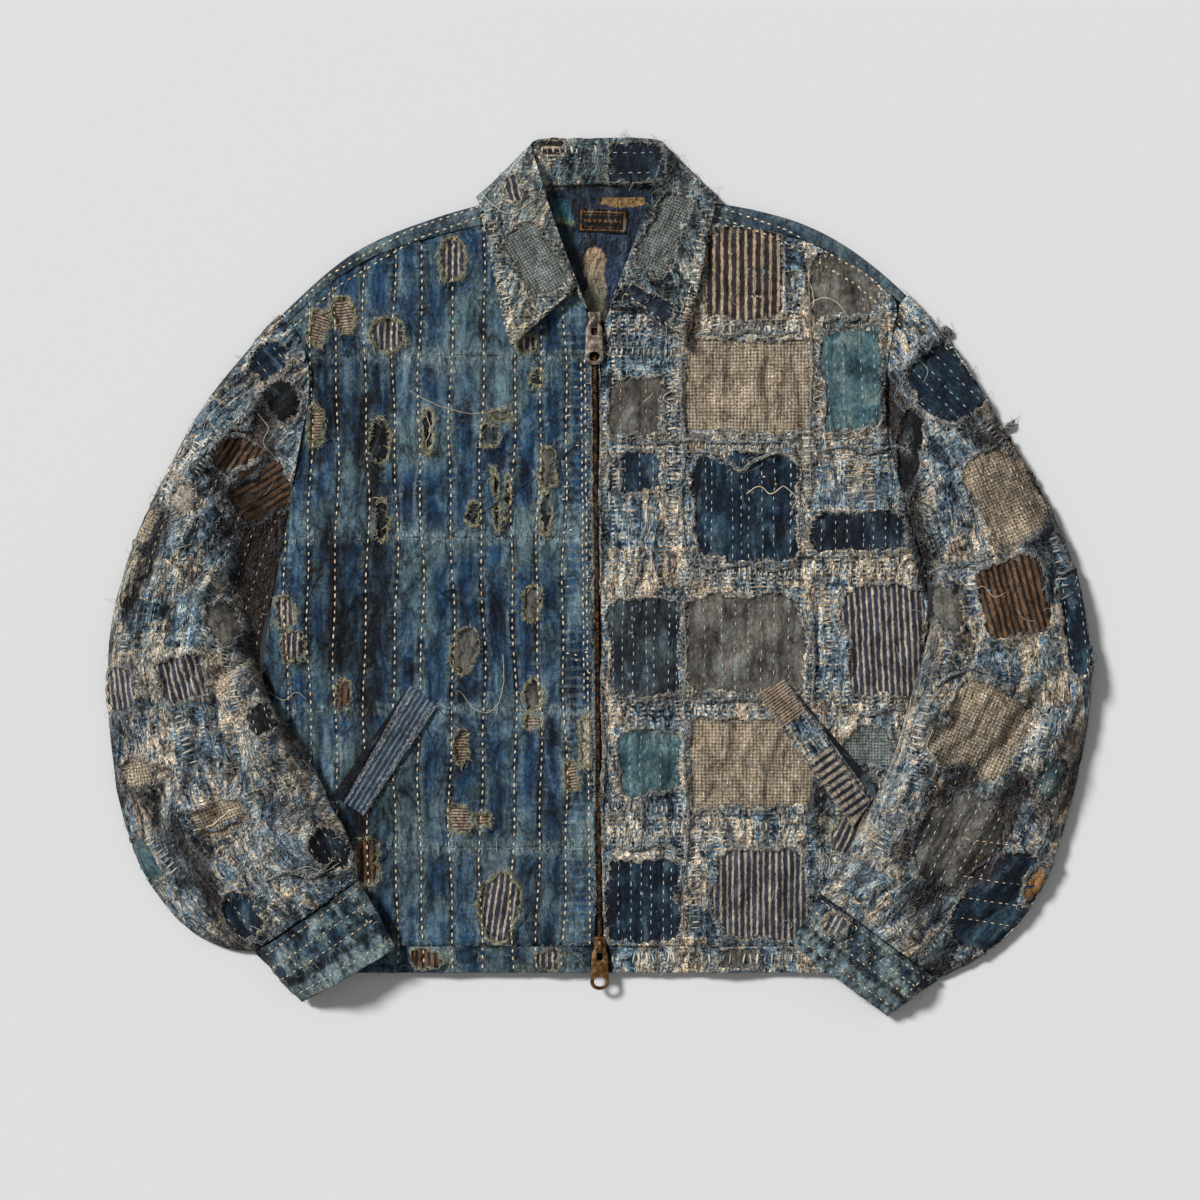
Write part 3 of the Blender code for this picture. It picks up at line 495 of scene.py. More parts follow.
def striped_cloth(name, pitch, pale, dark, share=0.5, across=False, wear=0.5):
    """Stripes along the warp, or across it, broken by wear."""
    material, r, sockets = start_cloth(name)
    grain = r.grain()
    x, y, _ = r.split(grain)
    bend = r.sway(r.noise(grain, 0.02), 0.12 * pitch)
    place = r.plus(y if across else x, bend)
    wave = r.math("FRACT", r.math("DIVIDE", place, pitch))
    rise = r.apart(wave, 0.5)
    fray = r.sway(r.noise(r.stretch(grain, (1, 0.4, 1)), 0.0016, 3.0), 0.35)
    mask = r.step(r.plus(rise, fray), 0.5 * share - 0.06, 0.5 * share + 0.06)
    light = r.mix(r.noise(grain, 0.004, 3.0), linear([c * 0.85 for c in pale]), linear(pale))
    shade = r.mix(r.noise(grain, 0.003, 3.0), linear(dark), linear([c * 0.5 + 42 for c in dark]))
    worn = r.step(r.noise(r.stretch(grain, (1, 0.3, 1)), 0.0035, 4.0, 0.7), 0.62, 0.78)
    colour = r.mix(mask, shade, light)
    colour = r.mix(r.times(worn, wear), colour, linear((96, 92, 96)))
    height = r.plus(use(r, WEAVE, Grain=grain)["Height"], r.times(mask, 0.8))
    finish_cloth(r, sockets, colour, height, 0.0009, contrast=0.5, ridge=0.25)
    return material


def checked_cloth(name, pitch, ground, pale, dark):
    """A small check: pale and brown threads crossing both ways."""
    material, r, sockets = start_cloth(name)
    grain = r.grain()
    x, y, _ = r.split(grain)
    bend = r.sway(r.noise(grain, 0.018), 0.5 * pitch)
    lines = []
    for place in (x, y):
        wave = r.math("FRACT", r.math("DIVIDE", r.plus(place, bend), pitch))
        lines.append(r.apart(wave, 0.5))
    fray = r.sway(r.noise(grain, 0.0013, 3.0), 0.35)
    pale_line = r.step(r.plus(r.math("MAXIMUM", *lines), fray), 0.3, 0.42)
    dark_line = r.step(r.plus(r.math("MINIMUM", *lines), fray), 0.17, 0.06)
    warm = r.mix(r.step(r.noise(grain, 0.022, 2.0), 0.35, 0.65), linear(ground),
                 linear([c * 0.8 for c in ground]))
    colour = r.mix(r.times(pale_line, 0.75), warm, linear(pale))
    colour = r.mix(r.times(dark_line, 0.7), colour, linear(dark))
    grey = r.step(r.noise(r.stretch(grain, (1, 0.25, 1)), 0.009, 3.0), 0.45, 0.64)
    colour = r.mix(r.times(grey, 0.22), colour, linear((84, 84, 80)))
    height = r.plus(use(r, WEAVE, Grain=grain, Pitch=0.5 * pitch)["Height"], r.times(pale_line, 0.6))
    finish_cloth(r, sockets, colour, height, 0.0009, contrast=0.35, ridge=0.15)
    return material


def thread_yarn(name, dark, pale, rough=0.85):
    """Yarn: the tone attribute says how pale each thread is."""
    material, r, sockets = start_cloth(name, rough, 0.2)
    tone = r.attribute("tone").outputs["Fac"]
    place = r.node("ShaderNodeTexCoord").outputs["Object"]
    twist = r.noise(place, 0.0009, detail=2.0)
    colour = r.mix(tone, linear(dark), linear(pale))
    colour = r.mix(r.times(r.step(twist, 0.45, 0.7), 0.35), colour, linear([c * 0.6 for c in dark]))
    r.put(sockets["Base Color"], colour)
    r.put(sockets["Normal"], r.bump(twist, 0.0002, 0.6))
    return material


BLUES = ((11, 16, 24), (42, 64, 86), (88, 118, 140), (142, 166, 182), (204, 198, 180), (252, 228, 196))
GREENS = ((17, 20, 24), (48, 62, 70), (90, 112, 118), (138, 158, 162), (196, 188, 168), (244, 226, 198))
CLOTHS = {
    "front": faded_cloth("faded_front_cloth", (8, 26, 54), (42, 90, 132), (120, 152, 158), 0.06, 0.05,
                         rows=True, contrast=0.7),
    "faded": faded_cloth("faded_indigo_cloth", (12, 28, 50), (52, 90, 120), (156, 180, 176), 0.03, 0.06),
    "cuff": faded_cloth("cuff_cloth", (10, 24, 42), (48, 80, 104), (166, 186, 184), 0.016, 0.06,
                        contrast=1.0),
    "back": faded_cloth("plain_indigo_cloth", (18, 31, 50), (48, 74, 98), (110, 132, 138), 0.06, -0.1),
    "gauze": gauze_cloth("torn_blue_cloth", BLUES, 0.13),
    "sleeve": gauze_cloth("torn_sleeve_cloth", BLUES, 0.17),
    "wing": gauze_cloth("collar_cloth", GREENS, 0.0, 1.15),
    "greenish": checked_cloth("green_grey_check", 0.0024, (140, 152, 146), (196, 202, 188), (82, 96, 100)),
    "navy": faded_cloth("navy_cloth", (8, 24, 42), (20, 50, 76), (70, 106, 126), 0.03, 0.0,
                        (140, 164, 176)),
    "purple": faded_cloth("dark_navy_cloth", (14, 22, 36), (28, 42, 62), (70, 88, 108), 0.03, 0.0),
    "charcoal": faded_cloth("charcoal_cloth", (34, 42, 50), (58, 70, 80), (108, 120, 126), 0.04, 0.0),
    "ash": faded_cloth("brown_grey_cloth", (98, 93, 86), (138, 132, 122), (166, 160, 148), 0.03),
    "teal": faded_cloth("teal_cloth", (58, 94, 106), (102, 140, 148), (170, 194, 190), 0.03),
    "striped": striped_cloth("cream_stripes", 0.0049, (255, 236, 206), (66, 70, 96), 0.66, wear=0.2),
    "fine": striped_cloth("ribbed_brown_stripes", 0.0064, (255, 222, 182), (64, 50, 50), 0.64, wear=0.2),
    "rust": striped_cloth("rust_brown_stripes", 0.005, (158, 114, 76), (22, 15, 12), 0.44, wear=0.1),
    "brown": striped_cloth("brown_rib", 0.0024, (244, 214, 182), (128, 102, 86), 0.5, across=True),
    "tan": checked_cloth("tan_check", 0.0027, (224, 192, 154), (255, 244, 216), (126, 106, 90)),
    "cream": faded_cloth("cream_cloth", (206, 192, 172), (240, 226, 204), (252, 242, 224), 0.01),
    "shred": gauze_cloth("rolled_torn_cloth", BLUES, 0.1, 1.4),
    "corded": striped_cloth("corded_blue", 0.0042, (150, 170, 188), (66, 88, 116), 0.6, wear=1.0),
    "cross": striped_cloth("cross_stripes", 0.0062, (226, 206, 180), (34, 36, 62), 0.5, across=True,
                           wear=0.35),
    "dark_blue": faded_cloth("facing_cloth", (10, 15, 26), (20, 30, 46), (40, 54, 74), 0.02, -0.1),
    "tape": faded_cloth("zip_tape_cloth", (14, 15, 20), (26, 26, 32), (48, 48, 54), 0.01),
    "dark": faded_cloth("hole_backing", (12, 13, 17), (28, 30, 36), (56, 62, 68), 0.02, -0.1),
    "ochre": faded_cloth("ochre_cloth", (170, 112, 58), (226, 168, 104), (244, 206, 150), 0.012),
}
YARNS = {
    "pale": thread_yarn("pale_yarn", (122, 126, 128), (232, 212, 180)),
    "blue": thread_yarn("blue_yarn", (40, 62, 92), (140, 168, 192)),
    "tan": thread_yarn("tan_yarn", (186, 144, 98), (252, 230, 194)),
    "white": thread_yarn("white_yarn", (120, 142, 156), (206, 216, 214)),
    "dark": thread_yarn("dark_yarn", (14, 22, 38), (30, 46, 70)),
    "olive": thread_yarn("olive_yarn", (86, 96, 92), (206, 196, 154)),
    "frayed": thread_yarn("frayed_yarn", (44, 64, 92), (222, 212, 190)),
}
print("cloths:", len(CLOTHS), "yarns:", len(YARNS))

# %% [markdown]
# ## Paths across the jacket
# A sleeve's threads run along the sleeve, shade is painted darker along the deep folds with a
# brown stain, and seams fade where they rub. All of these are distances from a path drawn over
# the laid jacket, in millimetres: +X to the wearer's left, +Y to the collar.

# %% Distance from a path
def from_path(x, y, path):
    """For arrays of points: how far from the path, on which side, and how far along it."""
    nearest = np.full(np.shape(x), 1e9)
    side, along = np.zeros(np.shape(x)), np.zeros(np.shape(x))
    run = 0.0
    for (x0, y0), (x1, y1) in zip(path, path[1:]):
        dx, dy = x1 - x0, y1 - y0
        length = math.hypot(dx, dy)
        share = np.clip(((x - x0) * dx + (y - y0) * dy) / length ** 2, 0, 1)
        away = np.hypot(x - x0 - share * dx, y - y0 - share * dy)
        closer = away < nearest
        nearest = np.where(closer, away, nearest)
        side = np.where(closer, np.sign(dx * (y - y0) - dy * (x - x0)), side)
        along = np.where(closer, run + share * length, along)
        run += length
    return nearest, side, along


def length_of(path):
    return sum(math.dist(a, b) for a, b in zip(path, path[1:]))


def soft_curve(points, count):
    """A smooth curve through the points, as many points long as count says."""
    points = np.array(points, float)
    spots = np.linspace(0, len(points) - 1, count)
    slope = np.gradient(points, axis=0)
    first = np.minimum(spots.astype(int), len(points) - 2)
    t = (spots - first)[:, None]
    a, b, da, db = points[first], points[first + 1], slope[first], slope[first + 1]
    return (a * (2 * t ** 3 - 3 * t ** 2 + 1) + da * (t ** 3 - 2 * t ** 2 + t)
            + b * (3 * t ** 2 - 2 * t ** 3) + db * (t ** 3 - t ** 2))


SLEEVE_MIDDLES = {
    "right": ((-190, 190), (-272, 90), (-301, 26), (-319, -38), (-320, -88), (-310, -136), (-289, -206),
              (-262, -244), (-198, -316), (-150, -370)),
    "left": ((180, 220), (262, 110), (293, 40), (313, -30), (317, -88), (307, -146), (284, -215),
             (256, -258), (200, -312), (150, -360)),
}
SLEEVE_LINES = {side: soft_curve(middle, 60) for side, middle in SLEEVE_MIDDLES.items()}
WELTS = {    # upper and lower end of each welt's middle line
    "right": ((-138.5, -94.5), (-194, -184.5)),
    "left": ((137, -87), (209.5, -189)),
}
# Seams of the faded front, rubbed pale.
SEAMS = (((-166, 175), (-60, 176)), ((-166, 32), (-30, 30)),
         ((-116, -104), (-6, -107)), ((-152, -215), (0, -216)))
# Deep folds and the valleys between sleeve and body: shade is painted darker along them, with a brown
# stain.
SHADED_FOLDS = {
    "front_right": (((-184, 142), (-174, 0), (-182, -90), (-190, -200)), ((-214, 50), (-205, -70))),
    "front_left": (((232, 150), (252, 60), (262, 0)), ((168, -120), (176, -200))),
    "sleeve_right": (((-268, 138), (-262, 90), (-286, 40), (-274, -16), (-262, -70), (-244, -120)),
                     ((-342, 46), (-370, -17)), ((-367, -169), (-325, -214), (-288, -288)),
                     ((-300, 70), (-262, 44)), ((-266, 30), (-258, -40))),
    "sleeve_left": (((236, 150), (242, 100), (256, 30), (262, -4)), ((322, -94), (273, -182), (238, -217)),
                    ((322, 107), (346, 53)), ((300, -226), (250, -262)), ((330, -160), (300, -236))),
}
# Smaller folds, added to those of the model: start, end, half-width and rise.
CREASES = {
    "front_right": (
        ((-228, 90), (-236, -30), 7, 1.6), ((-196, 120), (-190, 10), 5, 1.2),
        ((-160, 60), (-150, -70), 6, 1.1), ((-108, -20), (-112, -150), 6, -1.0),
        ((-76, -30), (-60, -110), 7, 1.2), ((-36, 40), (-30, -60), 6, 1.0),
        ((-90, 190), (-84, 96), 7, -1.0), ((-120, 220), (-112, 140), 8, 1.2),
        ((-150, -130), (-142, -240), 7, 1.2), ((-30, -180), (-26, -270), 6, -0.9),
        ((-206, -140), (-236, -90), 8, 1.6), ((-220, 180), (-206, 120), 8, -1.4),
        ((-116, -196), (-112, -270), 6, 1.2),
    ),
    "front_left": (
        ((30, 150), (34, 60), 6, -1.0), ((60, 180), (64, 96), 7, 1.3), ((104, 190), (100, 116), 5, -1.0),
        ((186, 240), (206, 196), 6, 1.5), ((198, 236), (222, 190), 5, -1.3),
        ((206, 180), (226, 100), 7, 1.8), ((84, 96), (88, 20), 5, 1.0), ((112, 90), (118, 20), 5, -0.9),
        ((140, 90), (142, 22), 5, 1.0), ((150, -20), (136, -74), 5, 1.8),
        ((158, -28), (150, -80), 4, -1.5), ((120, -130), (126, -190), 5, 1.3),
        ((108, -120), (112, -190), 4, -1.2), ((36, -110), (30, -200), 6, 1.2),
        ((230, -110), (240, -190), 7, 2.0), ((210, -150), (232, -222), 6, -1.4),
        ((50, -220), (44, -290), 6, -1.0), ((190, 0), (196, -80), 6, 1.0),
        ((140, -220), (150, -290), 7, 1.2),
    ),
    "sleeve_right": (
        ((-300, 120), (-330, 70), 7, 2.4), ((-282, 104), (-300, 84), 5, -2.0),
        ((-296, 88), (-262, 60), 5, 1.8), ((-300, 74), (-258, 44), 5, -1.6),
        ((-356, 40), (-384, -40), 9, 3.0), ((-320, 0), (-312, -60), 6, 2.2),
        ((-296, -30), (-276, -92), 6, 2.0), ((-384, -120), (-350, -170), 8, -2.6),
        ((-350, -140), (-300, -190), 8, 2.4), ((-344, -176), (-306, -230), 7, 3.0),
        ((-300, -150), (-250, -176), 7, -1.8), ((-280, -120), (-250, -150), 6, 1.8),
        ((-330, -250), (-296, -286), 7, 2.2), ((-270, -200), (-226, -216), 6, 1.6),
        ((-366, -60), (-370, -130), 9, 2.0), ((-262, -240), (-216, -232), 6, -1.5),
        ((-240, 150), (-262, 110), 7, 1.8),
    ),
    "sleeve_left": (
        ((268, 150), (300, 110), 8, -2.4), ((292, 130), (330, 84), 6, 2.0), ((300, 96), (284, 30), 7, 2.6),
        ((352, 40), (370, -40), 9, -2.2), ((330, 40), (352, -20), 7, 2.4),
        ((318, 30), (330, -40), 6, -1.8), ((286, -10), (272, -80), 7, 2.4),
        ((350, -70), (300, -150), 7, 3.0), ((340, -96), (296, -166), 6, -2.4),
        ((372, -100), (350, -180), 8, 2.2), ((330, -150), (280, -230), 6, 2.8),
        ((316, -168), (268, -232), 5, -2.2), ((300, -250), (330, -226), 6, 2.0),
        ((262, -90), (244, -140), 7, 2.0), ((246, -150), (222, -200), 7, 1.8),
        ((280, -290), (320, -262), 6, -1.8), ((240, -230), (206, -250), 6, 1.6),
        ((300, -282), (250, -300), 6, 1.8),
    ),
}
# The opening edge of each cuff.
CUFF_EDGES = {"cuff_right": ((-240, -340), (-160, -290)), "cuff_left": ((236, -352), (152, -290))}
# Bands where the pale threads are thick: centre line, half-width and strength.
CREAM_BANDS = {
    "front_left": (
        (((0, 202), (120, 204), (190, 198)), 10, 0.9), (((0, 104), (170, 106), (250, 98)), 11, 0.8),
        (((0, -2), (120, -3), (190, 6), (256, 0)), 10, 1.0), (((0, -104), (250, -98)), 11, 0.9),
        (((0, -200), (200, -204)), 9, 0.8), (((54, 160), (56, -10)), 6, 0.6),
        (((164, 180), (166, -20)), 8, 0.7), (((12, 210), (14, -300)), 5, 0.7),
        (((66, -110), (68, -300)), 6, 0.6), (((180, -10), (184, -110)), 6, 0.5),
        (((188, 270), (150, 262), (90, 284)), 6, 0.5),
    ),
    "collar": (
        (((-96, 296), (-84, 243), (-71, 186)), 6, 0.8), (((-71, 188), (-17, 232)), 7, 0.9),
        (((96, 296), (84, 243), (71, 186)), 6, 0.8), (((71, 188), (17, 232)), 7, 0.5),
        (((-50, 330), (10, 333)), 5, 0.5), (((-22, 250), (-48, 318)), 5, 0.3),
    ),
    "sleeve_right": (
        (((-346, 90), (-292, 108)), 8, 1.2), (((-338, 78), (-318, 46)), 7, 1.0),
        (((-330, 110), (-372, 10)), 8, 0.8), (((-394, -24), (-330, -8)), 7, 0.5),
        (((-390, -120), (-270, -126)), 9, 0.5), (((-300, -60), (-240, -190)), 8, 0.9),
        (((-360, -180), (-280, -220)), 9, 0.4), (((-330, -150), (-296, -200)), 8, 0.8),
    ),
    "sleeve_left": (
        (((276, 118), (334, 108)), 8, 1.0), (((262, 16), (350, 12)), 8, 0.9),
        (((252, 90), (268, 30)), 7, 1.0), (((262, -70), (292, -60)), 9, 0.9),
        (((246, -120), (266, -170)), 9, 1.0), (((330, -110), (352, -190)), 9, 0.6),
        (((300, -250), (262, -290)), 9, 0.6), (((222, -140), (200, -200)), 8, 0.6),
    ),
}
print("creases:", count_in(CREASES), "cream bands:", count_in(CREAM_BANDS))

# %% [markdown]
# ## Scraps and torn edges
# Wherever the upper cloth has worn through, a scrap shows: stripes, a small check, brown rib or
# plain dyed cloth, often held by rows of running stitch. Each scrap is a sheet of its own, cut
# to an uneven outline and laid on the panel, point by point, along the panel's own slope. Round
# it goes a torn edge of the upper cloth, a little raised, which hides the scrap's border.
# The outline runs from round (2) to square (12); turn is in degrees; rows are stitches along it,
# or across it where their number is negative.

# %% Where the scraps are, in millimetres
SCRAPS = {
    # name, cloth, x from, to, y from, to, outline, and where they are wanted turn, rows and yarn
    "front_left": (
        ("ribbed", "fine", 86, 147, 206, 279, 9),
        ("grey_shoulder", "ash", 168, 221, 200, 258, 6, 8, 2, "pale"),
        ("teal_chest", "teal", 180, 225, 118, 203, 9, 2, 4, "white"),
        ("tan_check_chest", "tan", 72, 167, 113, 190, 12),
        ("tan_strip", "tan", 72, 103, 100, 111, 5),
        ("grey_breast", "ash", 9, 50, 114, 158, 7, 0, 2, "pale"),
        ("blue_window", "navy", 19, 47, 68, 99, 6, 0, 3, "pale"),
        ("indigo_chest", "navy", 75, 161, 15, 98, 10, 0, 10, "white"),
        ("navy_side", "purple", 172, 244, 21, 51, 6, 0, 7, "white"),
        ("cream_square", "cream", 157, 171, 94, 114, 4),
        ("charcoal_low", "charcoal", 10, 66, -94, -21, 10, 0, 7, "white"),
        ("grey_pocket", "ash", 71, 165, -92, -15, 8, 0, 9, "white"),
        ("stripe_side", "striped", 194, 258, -94, -6, 5, 3),
        ("teal_low", "teal", 18, 68, -172, -122, 5, 0, 4, "white"),
        ("tan_check_low", "tan", 73, 174, -184, -112, 10, 0, 2, "pale"),
        ("green_check", "greenish", 196, 236, -162, -120, 3.5),
        ("slant_stripes", "striped", 194, 226, -222, -152, 3.5, -24),
        ("indigo_hem", "navy", 6, 64, -289, -224, 8, 0, 7, "white"),
        ("stripe_hem", "striped", 93, 166, -288, -218, 5),
    ),
    "front_right": (
        ("stripe_window_high", "striped", -126, -105, 235, 270, 2.2),
        ("stripe_window_round", "striped", -181, -153, 179, 206, 2.2),
        ("stripe_bit", "striped", -66, -50, 178, 192, 3),
        ("stripe_window_side", "striped", -257, -240, -42, -16, 5, 2),
        ("stripe_side_low", "striped", -251, -234, -68, -43, 4, -3),
        ("stripe_window_hem", "striped", -94, -62, -290, -236, 2.2, -8),
        ("brown_low", "rust", -193, -174, -246, -208, 3),
        ("brown_round", "brown", -212, -193, 193, 223, 2.3, 6),
        ("brown_shoulder", "brown", -231, -214, 182, 214, 3, -18),
        ("brown_side", "brown", -231, -218, 106, 134, 3),
        ("rib_a", "brown", -115, -102, -149, -122, 2.3),
        ("rib_b", "brown", -120, -100, -204, -181, 3.5),
        ("rib_c", "brown", -96, -84, -199, -187, 3),
        ("rib_d", "brown", -27, -14, -171, -147, 2.4, 10),
        ("rib_e", "rust", -210, -196, -106, -82, 3),
        ("rib_f", "brown", -59, -45, -121, -110, 3),
        ("hole_a", "dark", -182, -165, 90, 127, 2.2),
        ("hole_b", "dark", -140, -130, 98, 134, 2.2),
        ("hole_c", "dark", -177, -167, 30, 61, 3),
        ("hole_d", "dark", -104, -95, 39, 62, 3),
        ("hole_e", "dark", -46, -37, 33, 67, 3),
        ("hole_f", "dark", -84, -78, 38, 86, 2.4, 4),
        ("hole_g", "dark", -75, -70, 44, 80, 2.4, -3),
        ("grey_a", "charcoal", -94, -77, 104, 122, 3),
        ("grey_b", "ash", -86, -67, 123, 133, 3),
        ("grey_c", "charcoal", -54, -43, 152, 165, 3),
        ("grey_d", "ash", -47, -34, 71, 103, 3),
        ("grey_e", "ash", -60, -45, -36, -6, 2.4, -4),
        ("grey_f", "ash", -117, -96, -78, -40, 2.2, -10),
        ("grey_g", "ash", -59, -44, -108, -82, 2.5),
        ("cream_by_zip", "cream", -14.5, -6, -152, -112, 6),
    ),
    "sleeve_right": (
        ("navy_head", "navy", -276, -246, 160, 184, 3, 40, 2, "pale"),
        ("black_tear", "dark", -262, -240, 124, 156, 2.4, 20),
        ("stripe_sleeve", "rust", -302, -266, 80, 116, 3.4, -32),
        ("stripe_shade", "rust", -290, -248, 44, 92, 3, -58),
        ("cream_sleeve", "cream", -336, -319, 52, 74, 3, -32),
        ("tan_outer", "tan", -368, -352, 26, 54, 3, -22),
        ("stripe_elbow", "striped", -345, -311, -97, -63, 6, 14),
        ("stripe_outer", "striped", -388, -366, -106, -74, 4, 8),
        ("grey_fold", "ash", -308, -286, -52, -20, 2.6, 24),
        ("tan_a", "tan", -378, -352, -166, -145, 3, 10),
        ("tan_b", "tan", -318, -276, -203, -178, 3.4, 22),
        ("black_wrist", "dark", -274, -256, -124, -102, 3, 20, 2, "pale"),
        ("navy_dash", "purple", -225, -200, -232, -198, 2.6, 30, 4, "pale"),
        ("navy_low", "navy", -297, -268, -286, -250, 2.5, 35, 3, "pale"),
        ("teal_outer", "teal", -372, -350, -244, -208, 2.5, 34),
    ),
    "sleeve_left": (
        ("navy_sleeve_head", "navy", 250, 302, 124, 182, 5, 44, 5, "white"),
        ("tan_check_sleeve", "tan", 298, 350, 28, 104, 6, 24, 2, "pale"),
        ("wave_stripes", "rust", 298, 352, -48, 12, 5, 14),
        ("navy_edge", "navy", 368, 388, -80, 4, 3, 6, 2, "white"),
        ("grey_flap", "ash", 266, 284, -44, -6, 2.8, 10),
        ("tan_check_forearm", "tan", 268, 334, -156, -88, 5, -24, 4, "white"),
        ("ash_forearm", "ash", 253, 316, -246, -172, 2.5, -26, 7, "white"),
        ("teal_wrist", "teal", 348, 370, -176, -144, 3, -20, 3, "pale"),
        ("plain_low", "navy", 284, 352, -300, -214, 2.4, -40),
        ("ochre_edge", "ochre", 342, 360, -260, -226, 3, -30),
        ("black_armhole", "dark", 238, 256, 66, 134, 2.6, -8),
    ),
    "cuff_left": (
        ("stripe_cuff", "striped", 178, 196, -284, -266, 2.2, -30),
    ),
    "collar": (
        ("collar_stripes", "fine", -46, -28, 336, 348, 4, 90),
        ("collar_navy", "purple", 11, 51, 316, 345, 10, 0, -2, "white"),
        ("collar_dark", "purple", 16, 60, 206, 225, 5, -32),
        ("collar_green_a", "greenish", -66, -34, 222, 281, 4, 30),
        ("collar_green_b", "greenish", 38, 66, 238, 304, 4, -24),
        ("collar_brown", "brown", 68, 82, 190, 214, 2.6, 10),
        ("collar_bit", "striped", -72, -61, 298, 318, 2.6, 12),
    ),
    "hem_band": (
        ("hem_bit_a", "rust", -147, -127, -311, -297, 4),
        ("hem_bit_b", "striped", -47, -31, -311, -297, 4),
        ("hem_bit_c", "ash", 96, 126, -311, -297, 4),
    ),
}
print("scraps:", count_in(SCRAPS))

# %% An uneven outline and the cloth inside it
POINT_EVERY = 2.4


def torn_outline(half_x, half_y, power, seed, tear=1.7):
    """Points round the origin, on a rounded rectangle whose edge is torn."""
    count = max(22, int(4 * (half_x + half_y) / POINT_EVERY))
    turn = np.arange(count) * 2 * math.pi / count
    across, up = np.cos(turn), np.sin(turn)
    reach = (np.abs(across) ** power + np.abs(up) ** power) ** (-1 / power)
    x, y = half_x * across * reach, half_y * up * reach
    size = half_x + half_y
    push = 0.055 * size * clouds(x, y, 0.3 * size, seed) + 0.7 * tear * clouds(x, y, 5, seed + 1)
    bite = 0.06 * size * ramp(clouds(x, y, 0.38 * size, seed + 4), 0.3, 0.7)
    push += 0.5 * tear * clouds(x, y, 2.6, seed + 2) - bite
    away = np.hypot(x, y)
    return np.stack([x + x / away * push, y + y / away * push], axis=1)


def inside(outline, x, y):
    found = np.zeros(np.shape(x), bool)
    for (x0, y0), (x1, y1) in zip(outline, np.roll(outline, -1, axis=0)):
        crosses = (y0 > y) != (y1 > y)
        with np.errstate(divide="ignore", invalid="ignore"):
            found ^= crosses & (x < (x1 - x0) * (y - y0) / (y1 - y0) + x0)
    return found


def off_edge(outline, x, y):
    """How far each place is from the nearest point of an outline."""
    return np.hypot(x[:, None] - outline[:, 0], y[:, None] - outline[:, 1]).min(axis=1)


def placed(local, centre, turn):
    """Local points turned and moved to their place on the jacket."""
    angle = math.radians(turn)
    c, s = math.cos(angle), math.sin(angle)
    return np.stack([centre[0] + local[:, 0] * c - local[:, 1] * s,
                     centre[1] + local[:, 0] * s + local[:, 1] * c], axis=1)


# %% Each scrap's plan
def plan_scrap(number, panel, name, cloth, x0, x1, y0, y1, power, turn=0, rows=0, yarn=None):
    spare = 0.0 if panel == "front_right" else 1.8    # the torn edge over it hides this much
    half = ((x1 - x0) / 2 + spare, (y1 - y0) / 2 + spare)
    if abs(math.cos(math.radians(turn))) < 0.5:
        half = half[::-1]
    centre = ((x0 + x1) / 2, (y0 + y1) / 2)
    outline = torn_outline(*half, power, 3 * number)
    return {"number": number, "name": name, "panel": panel, "cloth": cloth, "centre": centre,
            "turn": turn, "half": half, "outline": outline, "edge": placed(outline, centre, turn),
            "rows": rows, "yarn": yarn}


ROWS_OF_SCRAPS = [(panel, *row) for panel, found in SCRAPS.items() for row in found]
PLANS = [plan_scrap(number, *row) for number, row in enumerate(ROWS_OF_SCRAPS, 1)]


def off_scraps(panel, x, y, reach=14):
    """How far each place is from the nearest scrap's edge on this panel, up to reach."""
    found = np.full(np.shape(x), float(reach))
    for plan in PLANS:
        low, high = plan["edge"].min(axis=0) - reach, plan["edge"].max(axis=0) + reach
        near = (x > low[0]) & (x < high[0]) & (y > low[1]) & (y < high[1])
        if plan["panel"] == panel and near.any():
            found[near] = np.minimum(found[near], off_edge(plan["edge"], x[near], y[near]))
    return found


def over_scrap(panel, x, y):
    """Whether each place is over a scrap of this panel."""
    found = np.zeros(np.shape(x), bool)
    for plan in PLANS:
        if plan["panel"] == panel:
            found |= inside(plan["edge"], x, y)
    return found


print("points in all outlines:", sum(len(plan["edge"]) for plan in PLANS))

# %% [markdown]
# ## Softening the model's cloth
# The model's cloth is faceted, in strips some 25 mm wide. A copy has its loose triangles merged
# and joined into squares, its rims marked as sharp, and is then subdivided: the surface turns
# soft and the outline stays. Smaller folds, puckers along the stitching and a slight unevenness
# are then pressed into it. Only what faces up moves, so that the jacket still lies flat.

# %% Selecting one piece
def only(piece):
    bpy.ops.object.select_all(action="DESELECT")
    piece.select_set(True)
    bpy.context.view_layer.objects.active = piece


def link(piece):
    bpy.context.scene.collection.objects.link(piece)
    return piece


def apply_all(piece):
    only(piece)
    for modifier in list(piece.modifiers):
        bpy.ops.object.modifier_apply(modifier=modifier.name)


def dress(piece, *materials):
    piece.data.materials.clear()
    for material in materials:
        piece.data.materials.append(material)


WELD = 0.00002    # metres: points nearer than this become one


def clean_copy(node, name, squares=False):
    """A copy of one piece of the model with its loose triangles merged, and joined into squares."""
    piece = link(bpy.data.objects.new(name, nodes[node].data.copy()))
    only(piece)
    bpy.ops.object.mode_set(mode="EDIT")
    bpy.ops.mesh.select_all(action="SELECT")
    bpy.ops.mesh.remove_doubles(threshold=WELD)
    bpy.ops.mesh.customdata_custom_splitnormals_clear()
    if squares:
        bpy.ops.mesh.tris_convert_to_quads(face_threshold=math.radians(45),
                                           shape_threshold=math.radians(80))
        bpy.ops.mesh.select_all(action="DESELECT")
    bpy.ops.object.mode_set(mode="OBJECT")
    return piece


# %% A soft copy of one cloth of the model
SHARP = math.radians(62)    # rims turn more than this, and stay sharp


